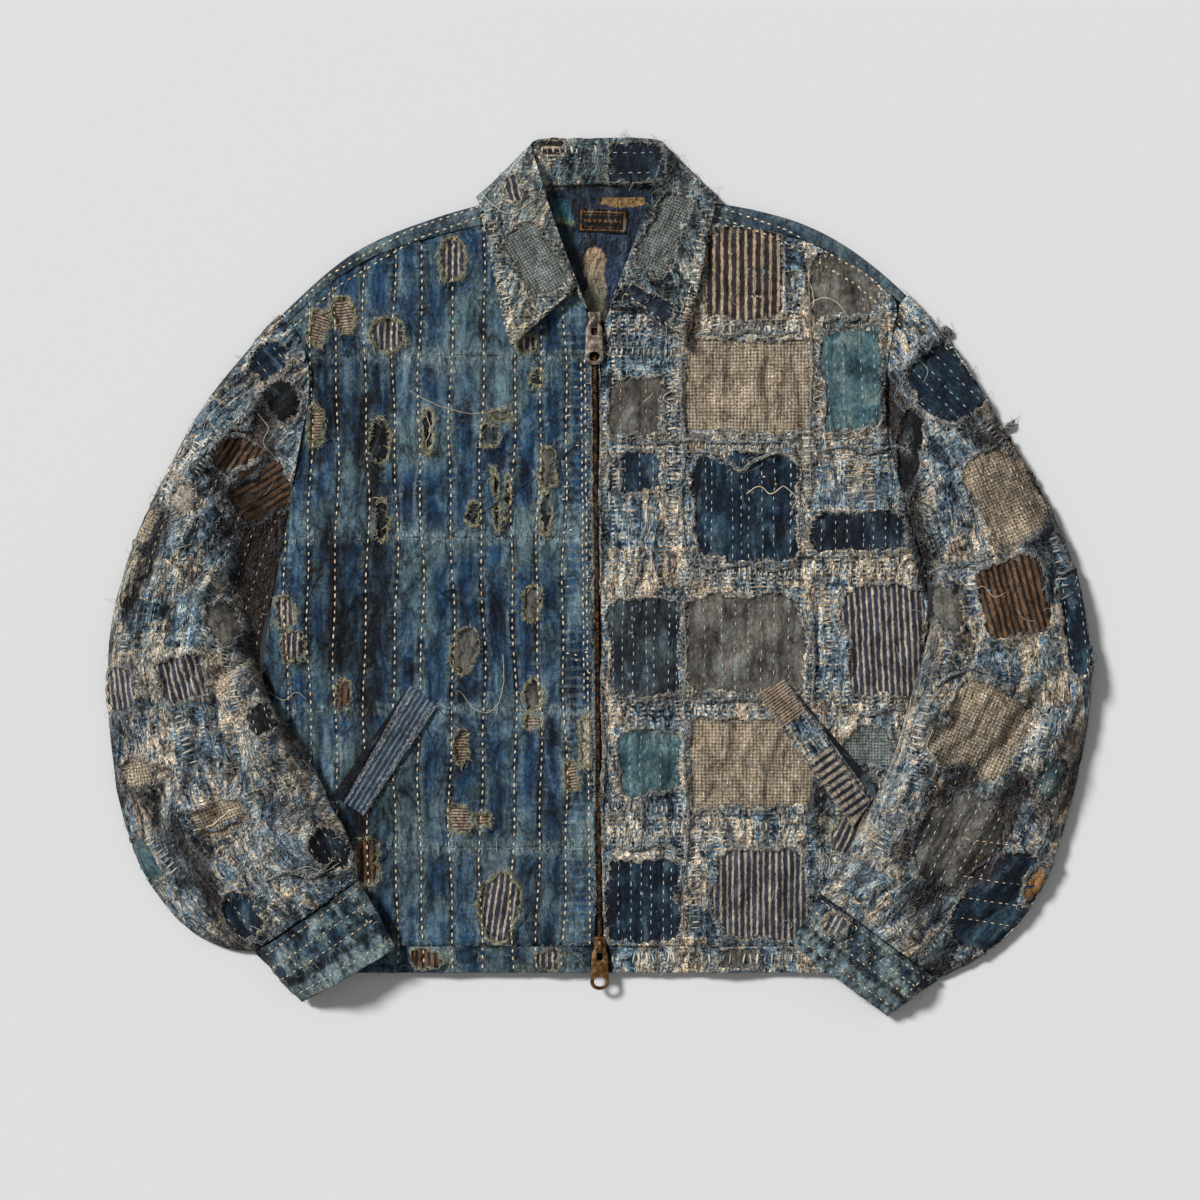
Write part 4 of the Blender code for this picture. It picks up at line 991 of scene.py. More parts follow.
def soften(node, levels=3):
    piece = clean_copy(node, f"{node}_cloth", squares=True)
    bm = bmesh.new()
    bm.from_mesh(piece.data)
    crease = bm.edges.layers.float.new("crease_edge")
    for edge in bm.edges:
        if edge.calc_face_angle(0) > SHARP:
            edge[crease] = 1.0
    bm.to_mesh(piece.data)
    bm.free()
    soft = piece.modifiers.new("soft", "SUBSURF")
    soft.levels = soft.render_levels = levels
    apply_all(piece)
    piece.data.shade_smooth()
    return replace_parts(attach(piece, "jacket"), node)


# %% Reading and writing a whole mesh at once
LOOK_FROM = 0.2    # metres above the table, or below it, from which the cloth is looked for


def points_of(piece):
    """The mesh's points in millimetres."""
    found = np.empty(len(piece.data.vertices) * 3)
    piece.data.vertices.foreach_get("co", found)
    return found.reshape(-1, 3) / MM


def move_points(piece, points):
    piece.data.vertices.foreach_set("co", (points * MM).astype(np.float32).ravel())
    piece.data.update()


def write_grain(piece, across, along, drop=0.0):
    """Distances across and along the threads, kept in metres; drop carries them down steep sides."""
    fall = drop * points_of(piece)[:, 2]
    values = np.stack([across + fall, along + fall, fall], axis=1) * MM
    made = piece.data.attributes.new("grain", "FLOAT_VECTOR", "POINT")
    made.data.foreach_set("vector", values.astype(np.float32).ravel())


def write_marks(piece, bleach_and_highlight, grime_and_shade, cream, stain):
    values = np.clip(np.stack(np.broadcast_arrays(bleach_and_highlight, grime_and_shade, cream, stain), axis=1), 0, 1)
    made = piece.data.attributes.new("marks", "FLOAT_COLOR", "POINT")
    made.data.foreach_set("color", values.astype(np.float32).ravel())


def faces_of(piece, what):
    """The center of every face, in metres, or its normal."""
    found = np.empty(len(piece.data.polygons) * 3)
    piece.data.polygons.foreach_get(what, found)
    return found.reshape(-1, 3)


def sort_faces(piece, numbers):
    """Gives every face the material of this number."""
    piece.data.polygons.foreach_set("material_index", numbers.astype(np.int32))


def tree_of(piece):
    """For finding the cloth's upper surface under a point."""
    bm = bmesh.new()
    bm.from_mesh(piece.data)
    tree = BVHTree.FromBMesh(bm)
    bm.free()
    return tree


def meet(tree, x, y, sign=1):
    """What a line straight down meets at x, y in millimetres, or straight up when sign is -1."""
    return tree.ray_cast(Vector((x * MM, y * MM, LOOK_FROM * sign)), Vector((0, 0, -sign)))


def touch(tree, x, y):
    """The place and slope of the cloth's top under x, y in millimetres."""
    found, normal, _, _ = meet(tree, x, y)
    if found is None:
        found, normal, _, _ = tree.find_nearest(Vector((x * MM, y * MM, 0.012)))
        normal = Vector((0, 0, 1))
    return found / MM, normal


# %% Folds and puckers of one panel
# The rows wander: their offset is the same for the pucker and for the stitches in it.
def zip_line(y):
    """The zip runs down the jacket on a slight slant."""
    return -0.0088 * y - 1.2


def wander(line, y):
    """How far a row has strayed sideways at this height; the faded cloth reads the same sums."""
    return sum(size * np.sin(y / tall + line / wide) for size, tall, wide in SWAYS)


def press_folds(piece, panel, keep_below):
    """Moves the panel's upward faces. keep_below is the height under which nothing moves."""
    points = points_of(piece)
    x, y, z = points.T
    wide, narrow = creased(x, y, panel)
    rise = 4.6 * (wide - 0.35) + 2.6 * (narrow - 0.35) + 0.7 * clouds(x, y, 3.6, 5)
    rise *= 0.7 if panel == "collar" else 1.0
    for start, end, half_width, height in CREASES.get(panel, ()):
        away, _, along = from_path(x, y, (start, end))
        length = math.dist(start, end)
        taper = ramp(along, -1, 0.25 * length) * ramp(-along, -length - 1, -0.75 * length)
        rise += (1.9 if "sleeve" in panel else 1.3) * height * np.exp(-(away / half_width) ** 2) * taper
    if "sleeve" in panel:
        long, short = sleeve_folds(x, y, panel)
        rise += 3.0 * long + 1.6 * short
    if panel == "front_right":
        for line in STITCH_LINES:
            away = x - line - wander(line, y)
            rise -= 0.9 * np.exp(-(away / 3.4) ** 2)
    if panel.startswith("front"):
        rise *= 0.15 + 0.85 * ramp(from_path(x, y, WELTS[panel.split("_")[1]])[0], 11, 24)
    points[:, 2] += rise * ramp(z, keep_below, keep_below + 5)
    if panel.startswith(("sleeve", "cuff", "collar")):
        middle = points[:, :2].mean(axis=0)
        outward = points[:, :2] - middle
        outward /= np.linalg.norm(outward, axis=1)[:, None]
        jog = 0.8 * clouds(x, y, 24, 6) + 0.45 * clouds(x, y, 8, 7)
        points[:, :2] += outward * (jog * ramp(-z, -26, -16))[:, None]
    move_points(piece, points)


def sleeve_folds(x, y, panel):
    """Long and short folds that lie slanting across a sleeve, from -1 to 1."""
    away, side, along = from_path(x, y, SLEEVE_LINES[panel.split("_")[1]])
    long = clouds(away * side + 0.3 * along, 0.4 * along, 19, 8)
    return long, clouds(away * side - 0.5 * along, 0.7 * along, 11, 9)


def creased(x, y, panel):
    """Values near 0 along crease lines that wander down the panel, and up to 1 between them."""
    if "sleeve" in panel:
        away, side, along = from_path(x, y, SLEEVE_LINES[panel.split("_")[1]])
        x, y = away * side + 0.35 * along, along
    return np.abs(clouds(x, y * 0.34, 14, 1)), np.abs(clouds(x, y * 0.5, 6.6, 2))


def marks_at(x, y, panel):
    """Fading and painted highlight, grime and painted shade, pale bands and stain, painted by the distances
    above.
    """
    speck = clouds(x, y, 7, 11)
    bleach_and_highlight = 0.22 * ramp(clouds(x, y * 0.2, 9, 12), 0.1, 0.9) + 0.3 * ramp(clouds(x, y, 38, 13), 0.25, 0.9)
    grime_and_shade = 0.3 * ramp(clouds(x, y, 52, 14), 0.15, 0.9)
    cream = 0.25 * ramp(clouds(x, y, 24, 15), 0.1, 0.9)
    stain = 0.3 * ramp(clouds(x, y, 44, 16), 0.35, 0.95)
    # Along the deep folds the cloth is painted darker, as shade, and stained brown.
    for path in SHADED_FOLDS.get(panel, ()):
        away = from_path(x, y, path)[0]
        grime_and_shade += 0.8 * np.exp(-(away / 9) ** 2) * (0.8 + 0.35 * speck) + 0.2 * np.exp(-(away / 22) ** 2)
        stain += (0.6 if "sleeve" in panel else 0.4) * np.exp(-(away / 15) ** 2)
    # Sunken creases are painted darker, as shade; raised ones paler, as painted highlight and wear.
    for start, end, half_width, height in CREASES.get(panel, ()):
        fold = np.exp(-(from_path(x, y, (start, end))[0] / half_width) ** 2)
        grime_and_shade += 0.45 * fold * (height < 0)
        bleach_and_highlight += 0.25 * fold * (height > 0) * (0.6 + 0.5 * speck)
    for path, half_width, strength in CREAM_BANDS.get(panel, ()):
        cream += strength * np.exp(-(from_path(x, y, path)[0] / half_width) ** 2) * (0.85 + 0.4 * speck)
    near = off_scraps(panel, x, y)
    halo = 0.3 * ramp(speck, 0, 1) * np.exp(-near / 9)
    cream += (0.35 + 0.4 * clouds(x, y, 5, 17)) * np.exp(-near / 2.6) + halo
    if panel == "front_right":
        bleach_and_highlight += 0.35 * ramp(clouds(x, y, 46, 22), 0.1, 0.9)
        grime_and_shade += 0.3 * ramp(clouds(x, y, 60, 23), 0.1, 0.9)
        for seam in SEAMS:
            away = from_path(x, y, seam)[0]
            rubbed = 0.9 * np.exp(-(away / 2.4) ** 2) + 0.45 * np.exp(-(away / 12) ** 2)
            bleach_and_highlight += rubbed * (0.8 + 0.6 * clouds(x, y, 5, 21))
        bleach_and_highlight += 0.3 * np.exp(-near / 8)
        deep = ramp(y, -112, -96) * ramp(-y, -38, -24)
        grime_and_shade += 0.12 * deep
        bleach_and_highlight *= 1 - 0.5 * deep
        cream *= 1 - 0.3 * deep
    if "sleeve" in panel:
        # Painted shade in the valleys of the sleeve's folds and painted highlight on their crests; brown
        # stain in the long valleys.
        long, short = sleeve_folds(x, y, panel)
        grime_and_shade += 0.28 * ramp(-long, 0.25, 0.8) + 0.16 * ramp(-short, 0.2, 0.8)
        bleach_and_highlight += 0.26 * ramp(long, 0.1, 0.8) + 0.15 * ramp(short, 0.2, 0.8)
        stain += 0.4 * ramp(-long, 0.3, 0.9)
        if panel == "sleeve_left":
            stain += 0.8 * ramp(x, 330, 380) * ramp(-y, 60, 140)
    # Painted shade along the crease lines, painted highlight between them.
    wide, narrow = creased(x, y, panel)
    grime_and_shade += 0.36 * ramp(-wide, -0.16, 0) + 0.2 * ramp(-narrow, -0.14, 0)
    bleach_and_highlight += 0.26 * ramp(wide, 0.3, 0.75) + 0.12 * ramp(narrow, 0.4, 0.8)
    return bleach_and_highlight, grime_and_shade, cream, stain


def panel_marks(piece, panel):
    """The piece's points, and each one's bleach and painted highlight, grime and painted shade, pale
    threads and stain.
    """
    x, y, z = points_of(piece).T
    return x, y, z, *marks_at(x, y, panel)


def panel_grain(piece, panel):
    """Grain along the sleeve on sleeves and cuffs, slanting on the collar, and straight elsewhere."""
    x, y, _ = points_of(piece).T
    if panel.startswith(("sleeve", "cuff")):
        away, side, y = from_path(x, y, SLEEVE_LINES[panel.split("_")[1]])
        x = away * side
    elif panel == "collar":
        x = x + 0.3 * np.abs(y) * np.sign(x)
    write_grain(piece, x, y, 0.0 if panel.startswith("front") else 0.5)


print("stitch rows on the faded front:", len(STITCH_LINES))

# %% The two fronts
cloths, trees = {}, {}
for side, material in (("right", "front"), ("left", "gauze")):
    panel = f"front_{side}"
    piece = soften(panel)
    press_folds(piece, panel, 4.5)
    x, _, _, bleach_and_highlight, grime_and_shade, cream, stain = panel_marks(piece, panel)
    # Painted shade towards the side edges, where the sleeves lie over the fronts.
    grime_and_shade += 0.5 * ramp(np.abs(x), 246, 264)
    panel_grain(piece, panel)
    write_marks(piece, bleach_and_highlight, grime_and_shade, cream, 0.6 * stain)
    dress(piece, CLOTHS[material])
    cloths[panel], trees[panel] = piece, tree_of(piece)
    print(piece.name, len(piece.data.polygons), "faces")

# %% The back, the hem band, the sleeves, the cuffs and the collar
def under_side(piece, material):
    """Gives what faces down its own plain cloth."""
    piece.data.materials.append(material)
    sort_faces(piece, faces_of(piece, "normal")[:, 2] < -0.25)


def part_by_side(piece, material):
    """The right half of the hem band is the faded cloth of the front above it."""
    piece.data.materials.append(material)
    sort_faces(piece, faces_of(piece, "center")[:, 0] < 0)


CLOTH_OF = {"back": "back", "hem_band": "gauze", "sleeve_right": "sleeve", "sleeve_left": "sleeve",
            "cuff_right": "cuff", "cuff_left": "cuff", "collar": "wing"}
for node, material in CLOTH_OF.items():
    piece = soften(node)
    is_sleeve = node.startswith(("sleeve", "cuff"))
    is_cuff = node.startswith("cuff")
    if node != "back":
        press_folds(piece, node, 6.5 if is_sleeve else 5.0)
    x, y, z, bleach_and_highlight, grime_and_shade, cream, stain = panel_marks(piece, node)
    panel_grain(piece, node)
    if is_sleeve:
        # Painted shade low on the sides, near the table.
        grime_and_shade += 0.55 * ramp(-z, -16, -5)
        if is_cuff:
            outer = from_path(x, y, CUFF_EDGES[node])[0]
            band = 1.3 * ramp(-outer, -15, -11) * ramp(clouds(x, y, 7, 32), -0.9, 0.1)
            bleach_and_highlight += band + 0.4 * ramp(clouds(x, y, 12, 33), 0, 1)
            grime_and_shade += 0.8 * np.exp(-((outer - 18) / 2.5) ** 2) + 0.5 * np.exp(-((outer - 56) / 5) ** 2)
            cream += 0.35 * np.exp(-outer / 3)
            # Painted shade at the opening's edge where it lies lowest, near the table.
            grime_and_shade += 0.9 * ramp(-outer, -9, -2) * ramp(-z, -9, -3)
    elif node == "collar":
        bleach_and_highlight += 0.5 * ramp(clouds(x, y, 9, 31), 0.0, 0.8)
    elif node == "back":
        bleach_and_highlight += 0.35 * ramp(z, 6, 12)
    write_marks(piece, bleach_and_highlight, grime_and_shade, cream, stain)
    dress(piece, CLOTHS[material])
    if is_sleeve:
        under_side(piece, CLOTHS["back"])
    if node == "hem_band":
        part_by_side(piece, CLOTHS["faded"])
    cloths[node], trees[node] = piece, tree_of(piece)
    print(piece.name, len(piece.data.polygons), "faces")

# %% Cloth inside an outline
def fill(outline, spacing):
    """Triangles inside the outline, with points this far apart."""
    low, high = outline.min(axis=0), outline.max(axis=0)
    x, y = np.meshgrid(np.arange(low[0], high[0], spacing), np.arange(low[1], high[1], spacing * 0.87))
    x = x + (np.arange(x.shape[0]) % 2 * spacing / 2)[:, None]
    x, y = x.ravel(), y.ravel()
    keep = inside(outline, x, y) & (off_edge(outline, x, y) > 0.7 * spacing)
    points = [Vector(p) for p in outline] + [Vector(p) for p in zip(x[keep], y[keep])]
    edges = [(k, (k + 1) % len(outline)) for k in range(len(outline))]
    found = geometry.delaunay_2d_cdt(points, edges, [], 1, 0.001)
    return np.array([tuple(p) for p in found[0]]), found[2]


def lay(tree, spots, rises):
    """Spots on the cloth, each lifted along the cloth's slope."""
    laid = []
    for (x, y), rise in zip(spots, np.broadcast_to(rises, len(spots))):
        place, normal = touch(tree, x, y)
        laid.append(place + normal * float(rise))
    return np.array(laid)


def new_mesh(name, points, faces, material):
    mesh = bpy.data.meshes.new(name)
    mesh.from_pydata([tuple(p) for p in points * MM], [], faces)
    mesh.materials.append(material)
    return link(bpy.data.objects.new(name, mesh))


def thicken(piece, thickness):
    wall = piece.modifiers.new("wall", "SOLIDIFY")
    wall.thickness = thickness * MM
    wall.offset = -1
    apply_all(piece)
    piece.data.shade_smooth()


# %% One scrap
SCRAP_WALL, SCRAP_RISE = 0.5, 0.75
SMALLEST_CUT = 0.0102    # metres: no scrap was cut narrower
LEAST_SHARE = 0.32    # of its flat size, which the cloth of an uneven scrap fills


def make_scrap(plan):
    number, panel, outline, half = plan["number"], plan["panel"], plan["outline"], plan["half"]
    local, faces = fill(outline, POINT_EVERY)
    pucker = 1.5 * (np.abs(clouds(local[:, 0], 0.25 * local[:, 1], 6.5, number)) - 0.3)
    pucker += 0.45 * clouds(local[:, 0], local[:, 1], 3.6, number)
    pucker *= ramp(np.hypot(*(local / half).T), 1.25, 0.6)
    spots = placed(local, plan["centre"], plan["turn"])
    piece = new_mesh(f"scrap_{plan['name']}", lay(trees[panel], spots, SCRAP_RISE + pucker), faces,
                     CLOTHS[plan["cloth"]])
    write_grain(piece, local[:, 0] + 37 * number, local[:, 1] + 23 * number)
    bleach_and_highlight, grime_and_shade, _, stain = panel_marks(piece, panel)[3:]
    edge = off_edge(outline, *local.T)
    # Painted shadow under the torn edge and painted shade in the pucker hollows, over random darker clouds;
    # written as grime and shade.
    shade = 0.85 * ramp(-edge, -4.0, -0.5) + 0.3 * ramp(clouds(local[:, 0], local[:, 1], 16, number), 0, 1)
    shade += 0.25 * ramp(-pucker, 0.05, 0.6)
    write_marks(piece, 0.35 * bleach_and_highlight, 0.34 * grime_and_shade + 0.5 * shade, 0.2 * ramp(-edge, -5, 0), 0.55 * stain)
    cut = sum(face.area for face in piece.data.polygons)
    thicken(piece, SCRAP_WALL)
    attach(piece, "jacket")
    if f"patch_{plan['name']}" in nodes:
        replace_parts(piece, f"patch_{plan['name']}")
    a, b = outline, np.roll(outline, -1, axis=0)
    seen_area = abs(float(np.sum(a[:, 0] * b[:, 1] - b[:, 0] * a[:, 1]))) / 2 * MM * MM
    slope = math.sqrt(cut / seen_area)    # a scrap on a slope was cut longer than it looks from above
    flat = [max(SMALLEST_CUT, slope * side * MM) for side in np.ptp(outline, axis=0)]
    cut = min(max(cut, LEAST_SHARE * flat[0] * flat[1]), flat[0] * flat[1])
    return piece


scraps = {plan["name"]: make_scrap(plan) for plan in PLANS}
left_over = [n for n in nodes if n.startswith("patch_") and not nodes[n].hide_render]
print("scraps made:", len(scraps), "model scraps still showing:", left_over)

# %% [markdown]
# ## Torn edges
# The torn edge is a narrow ring round each scrap. Its inner side is ragged and stands a little
# over the scrap; its outer side sinks into the panel, so that no step shows. All the rings of a
# panel are one mesh, in the panel's own cloth.

# %% The rings
RING = ((-1.3, 1.6), (0.3, 2.0), (1.8, 1.5), (3.8, 0.7), (6.4, -0.35))    # outward, rise
PANELS = ("front_right", "front_left", "sleeve_right", "sleeve_left", "cuff_left", "collar", "hem_band")


def outward_of(outline):
    run = np.roll(outline, -1, axis=0) - np.roll(outline, 1, axis=0)
    normal = np.stack([run[:, 1], -run[:, 0]], axis=1)
    return normal / np.linalg.norm(normal, axis=1)[:, None]


def torn_rings(panel):
    points, faces, torn, first = [], [], [], 0
    for plan in PLANS:
        if plan["panel"] != panel:
            continue
        edge, count = plan["edge"], len(plan["edge"])
        normal = outward_of(edge)
        for step, (out, rise) in enumerate(RING):
            torn_by = 2.4 - 1.0 * step if step < 2 else 0
            ragged = torn_by * clouds(edge[:, 0], edge[:, 1], 2.7, plan["number"])
            ring = edge + normal * (out - ragged)[:, None]
            wave = 0.4 * clouds(ring[:, 0], ring[:, 1], 4, plan["number"] + 60) * (rise > 0)
            points.append(lay(trees[panel], ring, rise + wave))
            torn.append(np.full(count, 1.0 - step / 2))
        for step in range(len(RING) - 1):
            a, b = first + step * count, first + (step + 1) * count
            faces += [(a + k, b + k, b + (k + 1) % count, a + (k + 1) % count) for k in range(count)]
        first += count * len(RING)
    piece = new_mesh(f"{panel}_torn_edges", np.concatenate(points), faces, cloths[panel].data.materials[0])
    x, y, _, bleach_and_highlight, grime_and_shade, cream, stain = panel_marks(piece, panel)
    panel_grain(piece, panel)
    if panel == "hem_band":
        part_by_side(piece, CLOTHS["faded"])
    torn = np.clip(np.concatenate(torn), 0, 1) * (0.3 + 0.7 * ramp(clouds(x, y, 8, 61), -0.4, 0.5))
    write_marks(piece, bleach_and_highlight, grime_and_shade, cream + torn, stain)
    thicken(piece, 0.45)
    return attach(piece, "jacket")


rings = {panel: torn_rings(panel) for panel in PANELS}
print("torn edges:", {panel: len(piece.data.polygons) for panel, piece in rings.items()})

# %% [markdown]
# ## Threads and stitches
# Loose threads, torn ends and running stitches are what makes mended cloth look mended. All of
# them are thin tubes, so one function turns a whole table of paths into one mesh, with a *tone*
# for each thread. A thread follows the cloth: at every step its height is read from the finished
# surface below it, and past the cloth's edge it hangs down towards the table.

# %% Many threads as one mesh
TAPER = {"loose": (0.9, 1.0, 1.0, 0.9, 0.75, 0.5), "stitch": (0.55, 1.0, 1.1, 1.0, 0.55)}


def yarn_mesh(name, paths, radii, tones, yarn, sides=3, shape="loose"):
    """Paths is threads by points by 3, in millimetres; one radius and one tone for each thread."""
    paths = np.asarray(paths, float)
    threads, length, _ = paths.shape
    run = np.gradient(paths, axis=1)
    run /= np.linalg.norm(run, axis=2, keepdims=True) + 1e-9
    across = np.cross(run, (0.0, 0.0, 1.0)) + (1e-6, 0.0, 0.0)
    across /= np.linalg.norm(across, axis=2, keepdims=True)
    above = np.cross(across, run)
    taper = np.interp(np.linspace(0, 1, length), np.linspace(0, 1, len(TAPER[shape])), TAPER[shape])
    reach = (np.asarray(radii)[:, None] * taper)[:, :, None, None]
    turn = (np.arange(sides) * 2 * math.pi / sides)[None, None, :, None]
    spokes = across[:, :, None, :] * np.cos(turn) + above[:, :, None, :] * np.sin(turn)
    points = paths[:, :, None, :] + reach * spokes
    ring = np.arange(sides)
    first = (np.arange(threads)[:, None] * length + np.arange(length - 1))[:, :, None] * sides
    quads = np.stack([first + ring, first + (ring + 1) % sides, first + sides + (ring + 1) % sides,
                      first + sides + ring], axis=-1).reshape(-1, 4)
    starts = np.arange(threads)[:, None] * length * sides
    caps = np.concatenate([starts + ring[::-1], starts + (length - 1) * sides + ring])
    piece = new_mesh(name, points.reshape(-1, 3), quads.tolist() + caps.tolist(), YARNS[yarn])
    piece.data.attributes.new("tone", "FLOAT", "POINT").data.foreach_set(
        "value", np.repeat(np.clip(tones, 0, 1), length * sides).astype(np.float32))
    piece.data.shade_smooth()
    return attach(piece, "jacket")


def lay_yarn(name, paths, thickness, tone, yarn="frayed", sides=3, shape="loose", dull=None):
    """Threads with radii between two values and tones drawn from a beta curve, darkened by the panel's
    grime and painted shade.
    """
    radii = dice.uniform(*thickness, len(paths))
    tones = dice.beta(*tone, len(paths))
    if dull is not None:
        panel, places = dull    # darker where the panel has grime and painted shade
        tones = tones * (1 - 0.8 * np.clip(marks_at(places[:, 0], places[:, 1], panel)[1], 0, 1))
    return yarn_mesh(name, paths, radii, tones, yarn, sides, shape)


# %% The height of the finished surface
def one_tree(pieces):
    """One search tree over the upper surface of many pieces."""
    points, faces, first = [], [], 0
    for piece in pieces:
        points += [tuple(vertex.co) for vertex in piece.data.vertices]
        faces += [[first + k for k in face.vertices] for face in piece.data.polygons]
        first = len(points)
    return BVHTree.FromPolygons(points, faces)


laid = [*cloths.values(), *scraps.values(), *rings.values()]
surface = one_tree(laid)
dice = np.random.default_rng(7)


def height_at(x, y, fallback):
    found = meet(surface, x, y)[0]
    return fallback if found is None else found.z / MM


def over(panel, x, y):
    """Whether a place is over the panel's own cloth, in millimetres."""
    return meet(trees[panel], x, y)[0] is not None


def loose_paths(starts, headings, lengths, lift, curl, count=6):
    """Threads that start on the cloth, wander and fall back on it."""
    threads = len(starts)
    x, y = np.array(starts, float).T
    heading = np.array(headings, float)
    bend = dice.normal(0, curl, threads)
    step = np.asarray(lengths) / (count - 1)
    lifts = lift * dice.uniform(0.25, 1.3, threads)
    z = np.full(threads, 4.0)
    paths = np.empty((threads, count, 3))
    for k in range(count):
        z = np.array([height_at(*spot) for spot in zip(x, y, np.maximum(z - 1.2 * step, 0.6))])
        arch = 0.3 + lifts * math.sin(math.pi * (0.15 + 0.8 * k / (count - 1)))
        paths[:, k] = np.stack([x, y, z + arch * (k > 0)], axis=1)
        heading = heading + bend + dice.normal(0, 0.6 * curl, threads)
        x, y = x + np.cos(heading) * step, y + np.sin(heading) * step
    return paths


print("surface tree ready")

# %% [markdown]
# ## Torn ends round the scraps
# Every torn edge ends in loose threads that reach over the scrap. On the faded front they are
# short and pale; in the torn cloth they are longer and of both colours, and they tangle.

# %% Threads from the torn edges
def edge_threads(panel, spacing, length_range, lift, curl, spread):
    """Threads from the torn edges of one panel, reaching over its scraps."""
    starts, headings = [], []
    for plan in PLANS:
        if plan["panel"] != panel:
            continue
        edge, outward = plan["edge"], outward_of(plan["edge"])
        size = float(np.sum(np.linalg.norm(np.roll(edge, -1, axis=0) - edge, axis=1)))
        share = dice.uniform(0, len(edge), int(size / spacing))
        chosen, step = share.astype(int), (share % 1)[:, None]
        spots = edge[chosen] * (1 - step) + np.roll(edge, -1, axis=0)[chosen] * step
        starts += list(spots + outward[chosen] * dice.uniform(0.2, 1.8, (len(chosen), 1)))
        inward = np.arctan2(-outward[chosen, 1], -outward[chosen, 0])
        headings += list(inward + dice.normal(0, spread, len(chosen)))
    kept = [k for k, (x, y) in enumerate(starts) if over(panel, 1.01 * x, y)]
    starts, headings = [starts[k] for k in kept], [headings[k] for k in kept]
    lengths = dice.gamma(2.2, (length_range[1] - length_range[0]) / 5, len(starts)) + length_range[0]
    lengths = np.minimum(lengths, 2.2 * length_range[1])
    return np.array(starts), loose_paths(starts, headings, lengths, lift, curl, 5)


starts, found = edge_threads("front_right", 0.9, (1.6, 6.5), 0.6, 0.4, 1.1)
lay_yarn("faded_front_torn_ends", found, (0.15, 0.28), (2.4, 1.4), "olive")
for panel in ("front_left", "hem_band", "collar", "sleeve_right", "sleeve_left", "cuff_left"):
    starts, found = edge_threads(panel, 0.8, (1.6, 6.0), 0.8, 0.34, 0.75)
    lay_yarn(f"{panel}_torn_ends", found, (0.11, 0.22), (1.4, 1.0), dull=(panel, starts))
    print(panel, len(found), "torn ends")

# %% [markdown]
# ## Fuzz over the torn cloth
# Between the scraps the worn cloth is a mat of short threads, standing a little off it. They are
# scattered over the panels, and at the folds they break the outline.

# %% Scattered threads
def spots_on(piece, count, accept):
    """Random places on the piece's faces, chosen by area, where accept(centres, normals) is true."""
    centres, normals = faces_of(piece, "center") / MM, faces_of(piece, "normal")
    areas = np.empty(len(centres))
    piece.data.polygons.foreach_get("area", areas)
    weight = areas * accept(centres, normals)
    chosen = dice.choice(len(centres), count, p=weight / weight.sum())
    return centres[chosen], normals[chosen]


def facing_up(centres, normals):
    return (normals[:, 2] > 0.3) * (centres[:, 2] > 3)


def at_the_rim(centres, normals):
    return (np.abs(normals[:, 2]) < 0.55) * (centres[:, 2] > 1.0)


FUZZ = {"front_left": 4200, "sleeve_right": 3000, "sleeve_left": 3000, "collar": 600, "hem_band": 400}
for panel, count in FUZZ.items():
    places, _ = spots_on(cloths[panel], count, facing_up)
    places = places[:, :2] + dice.uniform(-1.5, 1.5, (count, 2))
    places = places[~over_scrap(panel, places[:, 0], places[:, 1])]
    count = len(places)
    along = np.where(dice.random(count) < 0.6, math.pi / 2, 0) + dice.normal(0, 0.6, count)
    lengths = dice.gamma(2.0, 1.7, count) + 1.6
    found = loose_paths(places, along, lengths, 0.5, 0.45, 5)
    lay_yarn(f"{panel}_fuzz", found, (0.1, 0.21), (1.0, 1.1), dull=(panel, places))

RIMS = {"sleeve_right": 170, "sleeve_left": 170, "collar": 130, "hem_band": 120, "cuff_right": 40,
        "cuff_left": 40, "front_left": 60}
starts, headings = [], []
for panel, count in RIMS.items():
    places, normals = spots_on(cloths[panel], count, at_the_rim)
    starts += list(places[:, :2])
    headings += list(np.arctan2(normals[:, 1], normals[:, 0]) + dice.normal(0, 0.8, count))
found = loose_paths(starts, headings, dice.gamma(2.0, 1.3, len(starts)) + 1.0, 0.3, 0.5)
lay_yarn("rim_threads", found, (0.12, 0.24), (0.9, 1.1))
print("fuzz laid on", list(FUZZ), "and", len(found), "threads at the rims")

# %% [markdown]
# ## Long loose threads
# A few threads have pulled right out and lie in long curls. Some are listed one by one where they
# hang from a tear; the rest are scattered over the torn cloth.

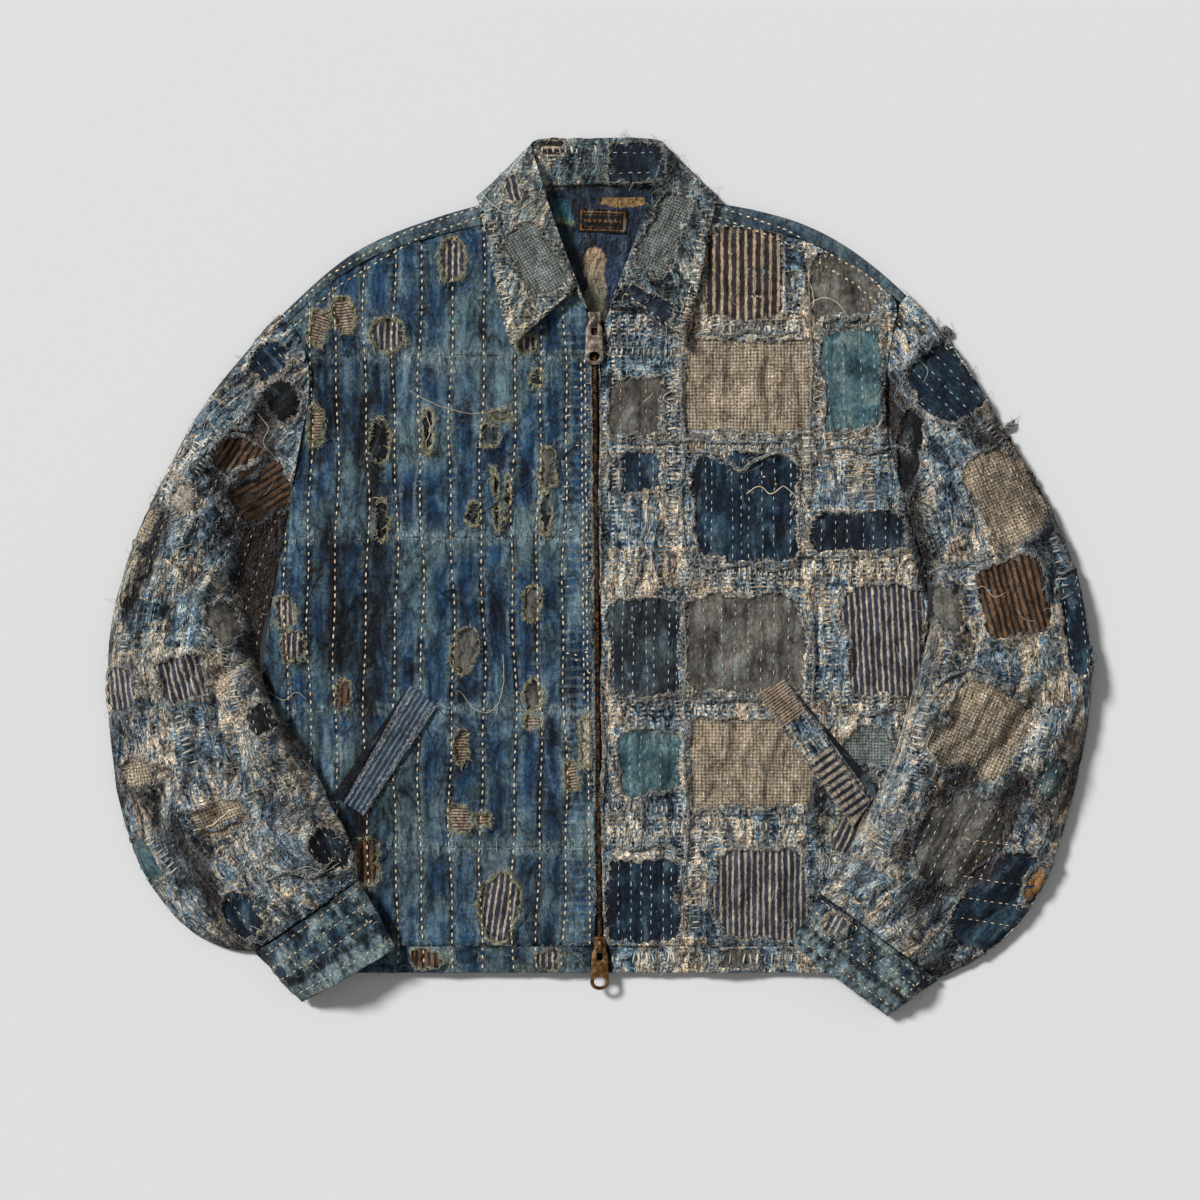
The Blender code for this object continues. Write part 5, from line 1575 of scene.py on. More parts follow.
# %% Long threads
LONG = {
    # radius, path in millimetres
    "pale": (
        (0.22, ((-76, -62), (-75, -84), (-79, -100), (-88, -108), (-100, -104), (-107, -94), (-112, -90))),
        (0.5, ((166, 208), (172, 218), (170, 230), (167, 240), (170, 250), (166, 262))),
        (0.5, ((168, 216), (178, 222), (190, 218), (198, 208))),
        (0.42, ((171, 160), (178, 155), (170, 150), (180, 146), (171, 141), (182, 137), (172, 131),
                (184, 127))),
        (0.4, ((170, 186), (176, 178), (169, 172), (174, 164), (168, 158))),
        (0.4, ((72, 196), (90, 190), (108, 194), (126, 190), (150, 193))),
        (0.4, ((60, 150), (52, 142), (60, 134), (50, 128), (58, 120))),
        (0.28, ((262, -120), (258, -134), (266, -146), (262, -160))),
        (0.3, ((286, -2), (294, -10), (304, -8), (312, -16), (322, -12))),
        (0.28, ((-270, 130), (-262, 118), (-266, 106), (-258, 96))),
        (0.28, ((-262, -92), (-250, -98), (-240, -92), (-232, -98))),
        (0.3, ((-244, -236), (-230, -228), (-216, -232), (-204, -226))),
        (0.4, ((-94, 306), (-84, 296), (-72, 288), (-60, 292), (-52, 298))),
        (0.28, ((-138, 132), (-133, 118), (-137, 104), (-132, 92))),
        (0.3, ((238, 176), (246, 168), (254, 172), (262, 164), (258, 154))),
        (0.24, ((-150, 148), (-126, 136), (-100, 130), (-72, 134))),
    ),
    "blue": (
        (0.34, ((-252, -206), (-244, -220), (-250, -232), (-240, -244))),
        (0.36, ((232, 168), (240, 156), (236, 142), (244, 130))),
    ),
    "tan": (
        (0.42, ((118, 66), (128, 72), (138, 66), (148, 72), (158, 62), (154, 54))),
        (0.42, ((-318, -200), (-304, -196), (-292, -186), (-282, -182))),
    ),
    "dark": (
        (0.4, ((-8, 112), (-58, 74), (-118, 34), (-176, -4))),
        (0.36, ((-126, -106), (-96, -132), (-60, -158), (-46, -150))),
    ),
}


def smooth_path(points, count):
    """A soft curve through the points, laid on the surface."""
    flat = soft_curve(points, count)
    flat += 0.5 * np.stack([clouds(flat[:, 0], flat[:, 1], 4, seed) for seed in (71, 72)], axis=1)
    z = [height_at(x, y, 2.0) + 0.55 + 0.4 * abs(float(clouds(x, y, 6, 73))) for x, y in flat]
    return np.column_stack([flat, z])


for yarn, rows in LONG.items():
    yarn_mesh(f"long_threads_{yarn}", [smooth_path(path, 26) for _, path in rows],
              [radius for radius, _ in rows], dice.uniform(0.5, 1.0, len(rows)), yarn, sides=4)
for panel, count in (("front_left", 34), ("sleeve_right", 16), ("sleeve_left", 20), ("collar", 5)):
    places, _ = spots_on(cloths[panel], count, facing_up)
    headings, lengths = dice.uniform(0, 2 * math.pi, count), dice.uniform(9, 24, count)
    found = loose_paths(places[:, :2], headings, lengths, 0.8, 0.26, 12)
    lay_yarn(f"{panel}_long_threads", found, (0.16, 0.26), (1.1, 1.0), "frayed", 4)
print("long threads placed by hand:", count_in(LONG))

# %% [markdown]
# ## Ladders of thick yarn
# Where the torn cloth was darned, thick yarn was carried to and fro across it. What is left are
# rungs of pale yarn, one above another, beside the scraps, along the edges of the collar and over
# the sleeves. A ladder is a line to follow, the length of its rungs and the gap between them.

# %% Rungs
LADDERS = {
    # rung length, gap, line in millimetres
    "front_left": (
        (7, 4.0, ((60, 112), (60, 34))), (8, 4.4, ((167, 120), (168, 60))),
        (7, 4.2, ((96, 198), (160, 196))), (6, 4.2, ((76, 106), (160, 104))), (6, 4.0, ((8, 8), (64, 5))),
        (7, 4.2, ((76, 6), (162, 3))), (7, 4.2, ((178, 8), (246, 4))), (8, 4.2, ((183, -16), (185, -66))),
        (9, 4.0, ((200, 102), (201, 62))), (9, 4.0, ((216, 104), (217, 60))),
        (6, 4.2, ((70, -102), (126, -104))), (6, 4.2, ((70, -196), (166, -201))),
        (6, 4.0, ((8, -182), (64, -186))), (6, 4.0, ((8, -206), (60, -204))),
        (7, 4.2, ((176, -116), (178, -150))), (7, 4.2, ((78, -206), (78, -284))),
        (6, 4.0, ((10, 180), (58, 178))), (7, 4.2, ((58, 160), (60, 118))),
    ),
    "collar": (
        (8, 4.4, ((-87, 296), (-78, 246), (-70, 204))), (7, 4.4, ((-66, 201), (-22, 233))),
        (8, 4.4, ((87, 296), (78, 246), (70, 204))), (6, 4.4, ((-50, 340), (8, 341))),
    ),
    "hem_band": (
        (8, 5.2, ((6, -304), (160, -304))),
    ),
    "sleeve_right": (
        (7, 3.6, ((-344, 66), (-314, 108))), (7, 3.6, ((-333, 60), (-305, 98))),
        (7, 3.8, ((-334, 50), (-326, 14))), (9, 4.2, ((-372, -36), (-376, -70))),
        (8, 4.0, ((-330, -110), (-318, -150))), (8, 4.0, ((-362, -200), (-336, -232))),
        (7, 4.0, ((-300, -216), (-262, -236))), (8, 4.2, ((-292, -66), (-284, -104))),
    ),
    "sleeve_left": (
        (7, 3.6, ((306, 124), (334, 92))), (8, 4.0, ((296, 8), (292, -24))),
        (9, 4.0, ((362, 30), (372, -20))), (8, 4.2, ((356, -100), (346, -150))),
        (8, 4.2, ((262, -88), (246, -140))), (7, 4.0, ((240, -180), (222, -214))),
    ),
}
for panel, ladders in LADDERS.items():
    made, middles = [], []
    for length, gap, line in ladders:
        path = soft_curve(line, max(2, int(length_of(line) / gap)))
        run = np.gradient(path, axis=0)
        for (x, y), (dx, dy) in zip(path + dice.normal(0, 0.35, path.shape), run):
            if dice.random() < 0.12:
                continue
            angle = math.atan2(dx, -dy) + dice.normal(0, 0.12)
            half = 0.5 * length * dice.uniform(0.6, 1.15)
            share = np.linspace(-half, half, 5)
            xs, ys = x + share * math.cos(angle), y + share * math.sin(angle)
            xs += 0.5 * clouds(xs, ys, 5, 97)
            if not all(over(panel, *end) for end in ((1.01 * xs[0], ys[0]), (1.01 * xs[-1], ys[-1]))):
                continue
            zs = np.array([height_at(a, b, 3.0) for a, b in zip(xs, ys)])
            made.append(np.stack([xs, ys, zs + 0.4 - 0.5 * (np.abs(share) > 0.9 * half)], axis=1))
            middles.append((x, y))
    lay_yarn(f"{panel}_rungs_5", made, (0.6, 1.05), (1.6, 0.9), "frayed", 5, "stitch",
             (panel, np.array(middles)))
    print(panel, len(made), "rungs")

# %% [markdown]
# ## Running stitches
# The mending is held by rows of running stitch in thick cotton. On the faded front and the back
# the rows run from shoulder to hem; on the scraps they are closer; on the cuffs they run round.
# One stitch is a short tube that rises from the cloth and dips back into it.

# %% One row of stitches
STITCH_ARCH = (-0.15, 0.3, 0.42, 0.3, -0.15)    # height above the cloth along one stitch


def row_of_stitches(path, pitch, dash, keep=None, under=False):
    """Stitches along a path of points in millimetres, laid on the surface or under it."""
    path = np.array(path, float)
    runs = np.concatenate([[0], np.cumsum(np.linalg.norm(np.diff(path, axis=0), axis=1))])
    starts = np.arange(dice.uniform(0, pitch), runs[-1] - dash, pitch)
    starts = starts + dice.normal(0, 0.07 * pitch, len(starts))
    made = []
    for start in starts:
        spots = np.linspace(start, start + dash * dice.uniform(0.8, 1.15), 5)
        x, y = np.interp(spots, runs, path[:, 0]), np.interp(spots, runs, path[:, 1])
        if keep is not None and not keep(x[2], y[2]):
            continue
        sign = -1 if under else 1
        found = [meet(surface, a, b, sign)[0] for a, b in zip(x, y)]
        if any(place is None for place in found):
            continue
        z = np.array([place.z / MM for place in found]) + sign * np.array(STITCH_ARCH)
        made.append(np.stack([x, y, z], axis=1))
    return made


def rows_on_sleeve(side, offsets, *given, **more):
    """Rows beside the sleeve's middle line, from its head to the cuff."""
    line = SLEEVE_LINES[side][:48]
    normal = np.gradient(line, axis=0)
    normal = np.stack([normal[:, 1], -normal[:, 0]], axis=1) / np.linalg.norm(normal, axis=1)[:, None]
    paths = [line + normal * offset for offset in offsets]
    return [stitch for path in paths for stitch in row_of_stitches(path, *given, **more)]


def straight(start, end, points=2):
    return np.linspace(start, end, points)


def on_panel(panel):
    def keep(x, y):
        own = meet(trees[panel], x, y)[0]
        return own is not None and height_at(x, y, 0) < own.z / MM + 2.5
    return keep


# %% Rows on the faded front and near the zip
on_front = on_panel("front_right")
made = []
for line in STITCH_LINES:
    ys = np.arange(-313, 300, 4.0)
    made += row_of_stitches(np.stack([line + wander(line, ys), ys], axis=1), 6.6, 3.3,
                            lambda x, y: on_front(x, y) or on_panel("hem_band")(x, y))
for offset in (-7.5, -10.5):
    low = -300 if offset == -7.5 else -98
    ys = np.arange(low, 178, 4.0)
    path = np.stack([zip_line(ys) + offset + 0.5 * clouds(ys, ys, 14, 81), ys], axis=1)
    made += row_of_stitches(path, 6.0, 3.0, on_front)
for y in np.arange(-98, 150, 7.5):
    for x in (-24.5, -16, -8.5):
        if dice.random() < 0.75:
            x0, y0 = x + dice.normal(0, 1.2), y + dice.normal(0, 1.5)
            path = straight((x0 - 2.6, y0), (x0 + 2.6, y0 + dice.normal(0, 0.7)))
            made += row_of_stitches(path, 9.0, 2.6, on_front)
SHOULDER_ROWS = (((-262, 196), (-214, 240), (-150, 276), (-92, 296)),
                 ((-254, 188), (-206, 232), (-146, 268), (-90, 288)),
                 ((262, 196), (214, 240), (150, 276), (92, 296)),
                 ((254, 188), (206, 232), (146, 268), (90, 288)))
for path in SHOULDER_ROWS:
    made += row_of_stitches(path, 6.2, 3.0)
lay_yarn("front_stitches", made, (0.5, 0.66), (3.0, 1.1), "tan", 4, "stitch")
print("stitches on the faded front:", len(made))


# %% Rows on the scraps
def scrap_rows(plan):
    half_x, half_y = plan["half"]
    count = abs(plan["rows"])
    across = plan["rows"] < 0
    width, length = (half_y, half_x) if across else (half_x, half_y)
    found = []
    for k in range(count):
        offset = width * (2 * (k + 0.5) / count - 1) + dice.normal(0, 0.05 * width)
        runs = np.linspace(-length - 3, length + 3, 12)
        sway = offset + 0.9 * clouds(runs, runs, 22, plan["number"] + k)
        local = np.stack([runs, sway] if across else [sway, runs], axis=1)
        inner = plan["outline"] * 0.96
        path = placed(local, plan["centre"], plan["turn"])
        angle = math.radians(-plan["turn"])

        def keep(x, y):
            dx, dy = x - plan["centre"][0], y - plan["centre"][1]
            return bool(inside(inner, np.array([dx * math.cos(angle) - dy * math.sin(angle)]),
                               np.array([dx * math.sin(angle) + dy * math.cos(angle)]))[0])

        found += row_of_stitches(path, 7.4, 3.3, keep)
    return found


for yarn in ("white", "pale"):
    made = [stitch for plan in PLANS if plan["yarn"] == yarn for stitch in scrap_rows(plan)]
    lay_yarn(f"scrap_stitches_{yarn}", made, (0.3, 0.42), (1.8, 1.4), yarn, 4, "stitch")
    print(yarn, "stitches on scraps:", len(made))

# %% Rows on the torn cloth, the collar and the cuffs
def patchy(panel, size, level):
    """True where a row of stitches has survived: on the bare panel, in patches."""
    on = on_panel(panel)

    def keep(x, y):
        if clouds(x, y, size, 91) <= level or not on(x, y):
            return False
        return not over_scrap(panel, np.array([x]), np.array([y]))[0]
    return keep


made = []
for line in (22, 38, 53, 84, 99, 115, 131, 147, 178, 193, 208, 222, 237):
    ys = np.arange(-306, 278, 5.0)
    bare = patchy("front_left", 36, -0.05)
    path = np.stack([line + 2.5 * clouds(ys, line + ys * 0, 60, 92), ys], axis=1)
    made += row_of_stitches(path, 7.6, 3.2, bare)
for side in ("right", "left"):
    made += rows_on_sleeve(side, np.arange(-62, 64, 13.5), 7.4, 3.1, patchy(f"sleeve_{side}", 40, 0.1))
lay_yarn("torn_cloth_stitches", made, (0.28, 0.4), (1.3, 1.6), "pale", 4, "stitch")

CUFF_ENDS = {    # the sleeve side and the opening side of each cuff, outer end first
    "right": (((-268, -301), (-191, -244)), ((-238, -335), (-163, -291))),
    "left": (((268, -322), (177, -254)), ((235, -347), (156, -288))),
}
made = []
for side, (inner, outer) in CUFF_ENDS.items():
    for share in (0.05, 0.3, 0.55, 0.92):
        start = [a + (b - a) * share for a, b in zip(inner[0], outer[0])]
        end = [a + (b - a) * share for a, b in zip(inner[1], outer[1])]
        made += row_of_stitches(straight(start, end, 6), 5.6, 2.8)
    for share in np.linspace(0.08, 0.92, 8):
        if dice.random() < 0.5:
            a = [p + (q - p) * share for p, q in zip(*inner)]
            b = [p + (q - p) * share for p, q in zip(*outer)]
            made += row_of_stitches(straight(a, [p + (q - p) * 0.6 for p, q in zip(a, b)]), 6.4, 2.6)
for y in (-210, -240, -257, -274):
    made += row_of_stitches(straight((286, y + 4), (352 - (-210 - y) * 0.2, y - 6), 6), 6.2, 3.0)
for start, end in (((-92, 286), (-72, 190)), ((-86, 288), (-66, 196)), ((-60, 196), (-20, 226))):
    made += row_of_stitches(straight(start, end, 5), 6.4, 3.0)
    made += row_of_stitches(straight((-start[0], start[1]), (-end[0], end[1]), 5), 6.4, 3.0)
lay_yarn("cuff_and_collar_stitches", made, (0.34, 0.46), (2.2, 1.3), "tan", 4, "stitch")
print("stitches on the cuffs and collar:", len(made))

# %% Rows on the back and the undersides
made = []
for line in np.arange(-240, 244, 20.0):
    ys = np.arange(-306, 300, 5.0)
    path = np.stack([line + 3 * clouds(ys, ys * 0 + line, 90, 95), ys], axis=1)
    made += row_of_stitches(path, 7.6, 3.6, under=True)
for side in ("right", "left"):
    made += rows_on_sleeve(side, (-54, -36, -18, 0, 18, 36, 54), 8.0, 3.6, under=True)
lay_yarn("back_stitches", made, (0.38, 0.5), (2.4, 1.4), "tan", 3, "stitch")
print("stitches underneath:", len(made))

# %% [markdown]
# ## Pocket welts, facings and zip tapes
# The welts are narrow folded strips beside the slanted pockets. The right one is corded along its
# length. The left one is pieced from three cloths: fine rib at the top, torn cloth in the middle
# and cross stripes below. The dark facing shows in the slit beside each welt.

# %% Welts and facings
def small_cloth(node, cloth, levels, path, wave, lift):
    """A soft copy whose threads run along the path."""
    piece = soften(node, levels)
    points = points_of(piece)
    x, y, _ = points.T
    points[:, 2] += lift + wave * (clouds(x, y, 6, 101) + 0.6 * clouds(x, y, 2.6, 102))
    move_points(piece, points)
    away, side, along = from_path(x, y, path)
    write_grain(piece, away * side, along)
    edge = ramp(np.abs(away), 5.5, 9.5) * (wave > 0)
    write_marks(piece, 0.3 * edge, 0.25 * ramp(clouds(x, y, 14, 103), 0, 1), 0.6 * edge, 0.25 + 0 * x)
    dress(piece, CLOTHS[cloth])
    return piece


welts = {}
for side, path in WELTS.items():
    piece = small_cloth(f"welt_{side}", "corded" if side == "right" else "gauze", 4, path, 0.35, 2.2)
    if side == "left":
        for cloth in ("brown", "cross"):
            piece.data.materials.append(CLOTHS[cloth])
        centres = faces_of(piece, "center") / MM
        place = from_path(centres[:, 0], centres[:, 1], path)[2]
        sort_faces(piece, np.where(place < 33, 1, np.where(place > 66, 2, 0)))
    welts[side] = piece
    small_cloth(f"pocket_facing_{side}", "dark_blue", 2, path, 0.0, 2.4)
    small_cloth(f"zip_tape_{side}", "tape", 1, ((0, 200), (0, -300)), 0.0, 0.0)
print("welts, facings and tapes:",
      [node for node in nodes if "welt" in node or "facing" in node or "tape" in node])

# %% Stitches, torn edges and fuzz on the welts
laid += welts.values()
surface = one_tree(laid)
made, starts, headings = [], [], []
for side, ((x0, y0), (x1, y1)) in WELTS.items():
    dx, dy = (x1 - x0) / math.dist((x0, y0), (x1, y1)), (y1 - y0) / math.dist((x0, y0), (x1, y1))
    for offset in (-7.5, 7.5):
        ends = (x0 + offset * dy, y0 - offset * dx), (x1 + offset * dy, y1 - offset * dx)
        made += row_of_stitches(straight(*ends, 8), 6.0, 2.8)
    for place in dice.uniform(0, 1, 260):
        offset = dice.choice((-11, 11)) + dice.normal(0, 0.8)
        starts.append((x0 + (x1 - x0) * place + offset * dy, y0 + (y1 - y0) * place - offset * dx))
        headings.append(dice.uniform(0, 2 * math.pi))
lay_yarn("welt_stitches", made, (0.3, 0.4), (1.5, 1.3), "pale", 4, "stitch")
found = loose_paths(starts, headings, dice.gamma(2.0, 1.5, len(starts)) + 1.2, 0.4, 0.5)
lay_yarn("welt_threads", found, (0.14, 0.24), (0.9, 1.0))

# %% [markdown]
# ## Zip
# The zip is an old brass one with a slider at each end. One tooth is a small block with softened
# edges; both rows are copies of it, half a pitch apart, along the zip's slightly slanted line.
# The sliders and pulls keep the model's shape, with their edges softened.

# %% Metals
def metal(name, colour, worn, roughness):
    material = bpy.data.materials.new(name)
    material.use_nodes = True
    r = Recipe(material.node_tree)
    sockets = material.node_tree.nodes["Principled BSDF"].inputs
    sockets["Metallic"].default_value = 0.9
    place = r.node("ShaderNodeTexCoord").outputs["Object"]
    cloud = r.noise(place, 0.004, detail=4.0, rough=0.65)
    scratch = r.noise(r.stretch(place, (1.0, 0.12, 1.0)), 0.0012, detail=2.0)
    r.put(sockets["Base Color"], r.mix(r.step(cloud, 0.4, 0.66), linear(colour), linear(worn)))
    r.put(sockets["Roughness"], r.madd(cloud, 0.3, roughness))
    r.put(sockets["Normal"], r.bump(r.plus(cloud, r.times(scratch, 0.5)), 0.0002, 0.5))
    return material


METALS = {
    "aged_brass": metal("aged_brass", (92, 66, 42), (150, 118, 80), 0.34),
    "aged_pewter": metal("aged_pewter", (110, 98, 88), (168, 156, 142), 0.3),
    "zip_teeth": metal("zip_tooth_brass", (58, 40, 29), (140, 104, 72), 0.42),
}


# %% The teeth
TOOTH_PITCH, TOOTH_LOW, TOOTH_HIGH = 2.1, -286.0, 197.0
METAL_EDGE = 0.22    # how much the edges of the teeth, sliders and pulls are worn off


def sunk(y):
    """How much lower the chain lies towards the hem."""
    return 3.0 * ramp(-y, 150, 300)


def one_tooth():
    bpy.ops.object.select_all(action="DESELECT")
    bpy.ops.mesh.primitive_cube_add(size=1)
    tooth = bpy.context.active_object
    tooth.scale = (2.0 * MM, 1.0 * MM, 1.5 * MM)
    bpy.ops.object.transform_apply(location=False, rotation=False, scale=True)
    bpy.ops.object.mode_set(mode="EDIT")
    bpy.ops.mesh.select_all(action="SELECT")
    bpy.ops.mesh.bevel(offset=METAL_EDGE * MM, segments=1)
    bpy.ops.object.mode_set(mode="OBJECT")
    points = points_of(tooth)
    faces = [list(face.vertices) for face in tooth.data.polygons]
    bpy.data.objects.remove(tooth)
    return points, faces


chain_top = max((vertex.co.z for vertex in nodes["zip_chain"].data.vertices)) / MM
tooth, tooth_faces = one_tooth()
points, faces = [], []
for number, y in enumerate(np.arange(TOOTH_LOW, TOOTH_HIGH, TOOTH_PITCH / 2)):
    side = 1 if number % 2 else -1
    moved = tooth + (zip_line(y) + 0.65 * side, y, chain_top - 0.45 - float(sunk(y)))
    faces += [[len(points) * len(tooth) + k for k in face] for face in tooth_faces]
    points.append(moved)
teeth = new_mesh("zip_teeth", np.concatenate(points), faces, METALS["zip_teeth"])
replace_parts(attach(teeth, "jacket"), "zip_chain")
print("teeth:", len(points))

# %% Sliders and pulls
def polished(node, name, body, finish):
    piece = clean_copy(node, name)
    edges = piece.modifiers.new("edges", "BEVEL")
    edges.width, edges.segments = METAL_EDGE * MM, 2
    edges.limit_method, edges.angle_limit = "ANGLE", math.radians(40)
    apply_all(piece)
    bpy.ops.object.shade_smooth_by_angle(angle=math.radians(35))
    dress(piece, METALS[finish])
    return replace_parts(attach(piece, body), node)


polished("top_slider", "top_slider_metal", "jacket", "aged_pewter")
polished("top_puller", "top_pull_metal", "top_pull", "aged_pewter")
polished("bottom_slider", "bottom_slider_metal", "jacket", "aged_brass")
polished("bottom_puller", "bottom_pull_metal", "bottom_pull", "aged_brass")
print("sliders and pulls in metal")

# %% [markdown]
# ## Lining and label
# Inside the neck the lining is printed in navy and dark teal with a few pale blotches, here kept
# as plain soft shapes. The woven label carries a plain border and a row of small diamonds in
# place of any name.

# %% The printed lining
def blotch(r, x, y, middle, half, soft=1.2):
    """1 inside a soft-cornered rectangle, in millimetres."""
    across = r.minus(r.apart(x, middle[0] * MM), half[0] * MM)
    up = r.minus(r.apart(y, middle[1] * MM), half[1] * MM)
    return r.step(r.math("MAXIMUM", across, up), soft * MM, -soft * MM)


def pill(r, x, y, middle, half, straight, soft=1.0):
    """1 inside a shape with straight sides and round ends, in millimetres."""
    across = r.minus(x, middle[0] * MM)
    up = r.math("MAXIMUM", r.minus(r.apart(y, middle[1] * MM), straight * MM), 0.0)
    away = r.math("SQRT", r.madd(up, up, r.times(across, across)))
    return r.step(away, (half + soft) * MM, (half - soft) * MM)


def lining_cloth():
    material, r, sockets = start_cloth("printed_lining", 0.8, 0.2)
    grain = r.grain()
    sway = r.sway(r.noise(grain, 0.012, 3.0), 0.011)
    x, y, _ = r.split(grain)
    x, y = r.plus(x, sway), r.minus(y, sway)
    side = r.step(x, -0.024, 0.006)
    teal = use(r, WASH, Grain=grain, Deep=linear((8, 18, 26)), Mid=linear((14, 34, 48)),
               Pale=linear((34, 70, 84)), Cloud=0.02)
    navy = use(r, WASH, Grain=grain, Deep=linear((14, 22, 40)), Mid=linear((30, 46, 74)),
               Pale=linear((54, 76, 108)), Cloud=0.03)
    colour = r.mix(side, teal["Color"], navy["Color"])
    colour = r.mix(blotch(r, x, y, (-30, 292), (9, 10)), colour, linear((36, 96, 112)))
    colour = r.mix(blotch(r, x, y, (-28, 284), (8, 2)), colour, linear((128, 138, 104)))
    colour = r.mix(blotch(r, x, y, (20, 304), (18, 7)), colour, linear((178, 140, 84)))
    fade = r.colours(r.math("DIVIDE", r.minus(0.268, y), 0.075),
                     ((0.0, (206, 168, 128)), (0.3, (176, 156, 126)), (0.55, (138, 138, 116)),
                      (1.0, (92, 72, 50))))
    colour = r.mix(pill(r, x, y, (-2, 232), 8.5, 22), colour, fade)
    colour = r.mix(r.times(r.step(y, 0.232, 0.195), 0.65), colour, linear((52, 44, 38)))
    finish_cloth(r, sockets, colour, use(r, WEAVE, Grain=grain)["Height"], 0.0003, contrast=0.3, ridge=0.15)
    return material


lining = soften("neck_lining", 5)
points = points_of(lining)
x, y, z = points.T
rise = 1.1 * clouds(x, y * 0.4, 15, 111) + 0.4 * clouds(x, y, 6, 112)
points[:, 2] += rise * ramp(-np.abs(x), -54, -40) * ramp(z, z.max() - 0.5, z.max())
move_points(lining, points)
write_grain(lining, x, y)
# Painted shade towards both sides and along the top edge, written as grime and shade.
write_marks(lining, 0 * x, 0.5 * ramp(np.abs(x) , 34, 52) + 0.25 * ramp(y, 296, 303), 0 * x, 0 * x)
dress(lining, lining_cloth())


# %% The label
def label_cloth():
    material, r, sockets = start_cloth("woven_label", 0.85, 0.1)
    grain = r.grain()
    x, y, _ = r.split(grain)
    across, up = r.math("ABSOLUTE", x), r.math("ABSOLUTE", y)
    gap = r.math("MAXIMUM", r.minus(across, 17.2 * MM), r.minus(up, 7.2 * MM))
    border = r.step(r.math("ABSOLUTE", gap), 0.75 * MM, 0.35 * MM)
    wave = r.apart(r.math("FRACT", r.math("DIVIDE", x, 4.2 * MM)), 0.5)
    diamond = r.step(r.madd(wave, 4.2 * MM, up), 2.0 * MM, 1.5 * MM)
    diamond = r.times(diamond, r.step(across, 14.8 * MM, 14.4 * MM))
    dash = r.apart(r.math("FRACT", r.math("DIVIDE", x, 1.7 * MM)), 0.5)
    line = r.step(r.apart(up, 4.9 * MM), 0.55 * MM, 0.3 * MM)
    line = r.times(r.times(line, r.step(dash, 0.16, 0.26)), r.step(across, 14.8 * MM, 14.4 * MM))
    worn = r.noise(grain, 0.0008, 3.0, 0.7)
    thread = r.times(r.math("MAXIMUM", r.math("MAXIMUM", border, diamond), r.times(line, 0.7)),
                     r.step(worn, 0.3, 0.55))
    colour = r.mix(r.times(thread, 0.85), linear((24, 20, 22)), linear((172, 118, 58)))
    finish_cloth(r, sockets, colour, use(r, WEAVE, Grain=grain, Pitch=0.0007)["Height"], 0.0003)
    return material


label = soften("neck_label")
x, y, z = points_of(label).T
middle, turn = (x.min() + x.max()) / 2, math.radians(2)
dx, dy = x - middle, y - (y.min() + y.max()) / 2
write_grain(label, dx * math.cos(turn) - dy * math.sin(turn), dx * math.sin(turn) + dy * math.cos(turn))
write_marks(label, 0 * x, 0 * x, 0 * x, 0 * x)
dress(label, label_cloth())
print("lining and label:", len(lining.data.polygons), len(label.data.polygons), "faces")

# %% [markdown]
# ## Rolled shreds
# Where the torn cloth has come away along a seam it has rolled up: one thick shred lies across
# the head of the left sleeve, and smaller ones stand at its outline, on the pocket side and
# along the tears. Each is an uneven tube of the torn cloth, flattened, with its ends frayed.

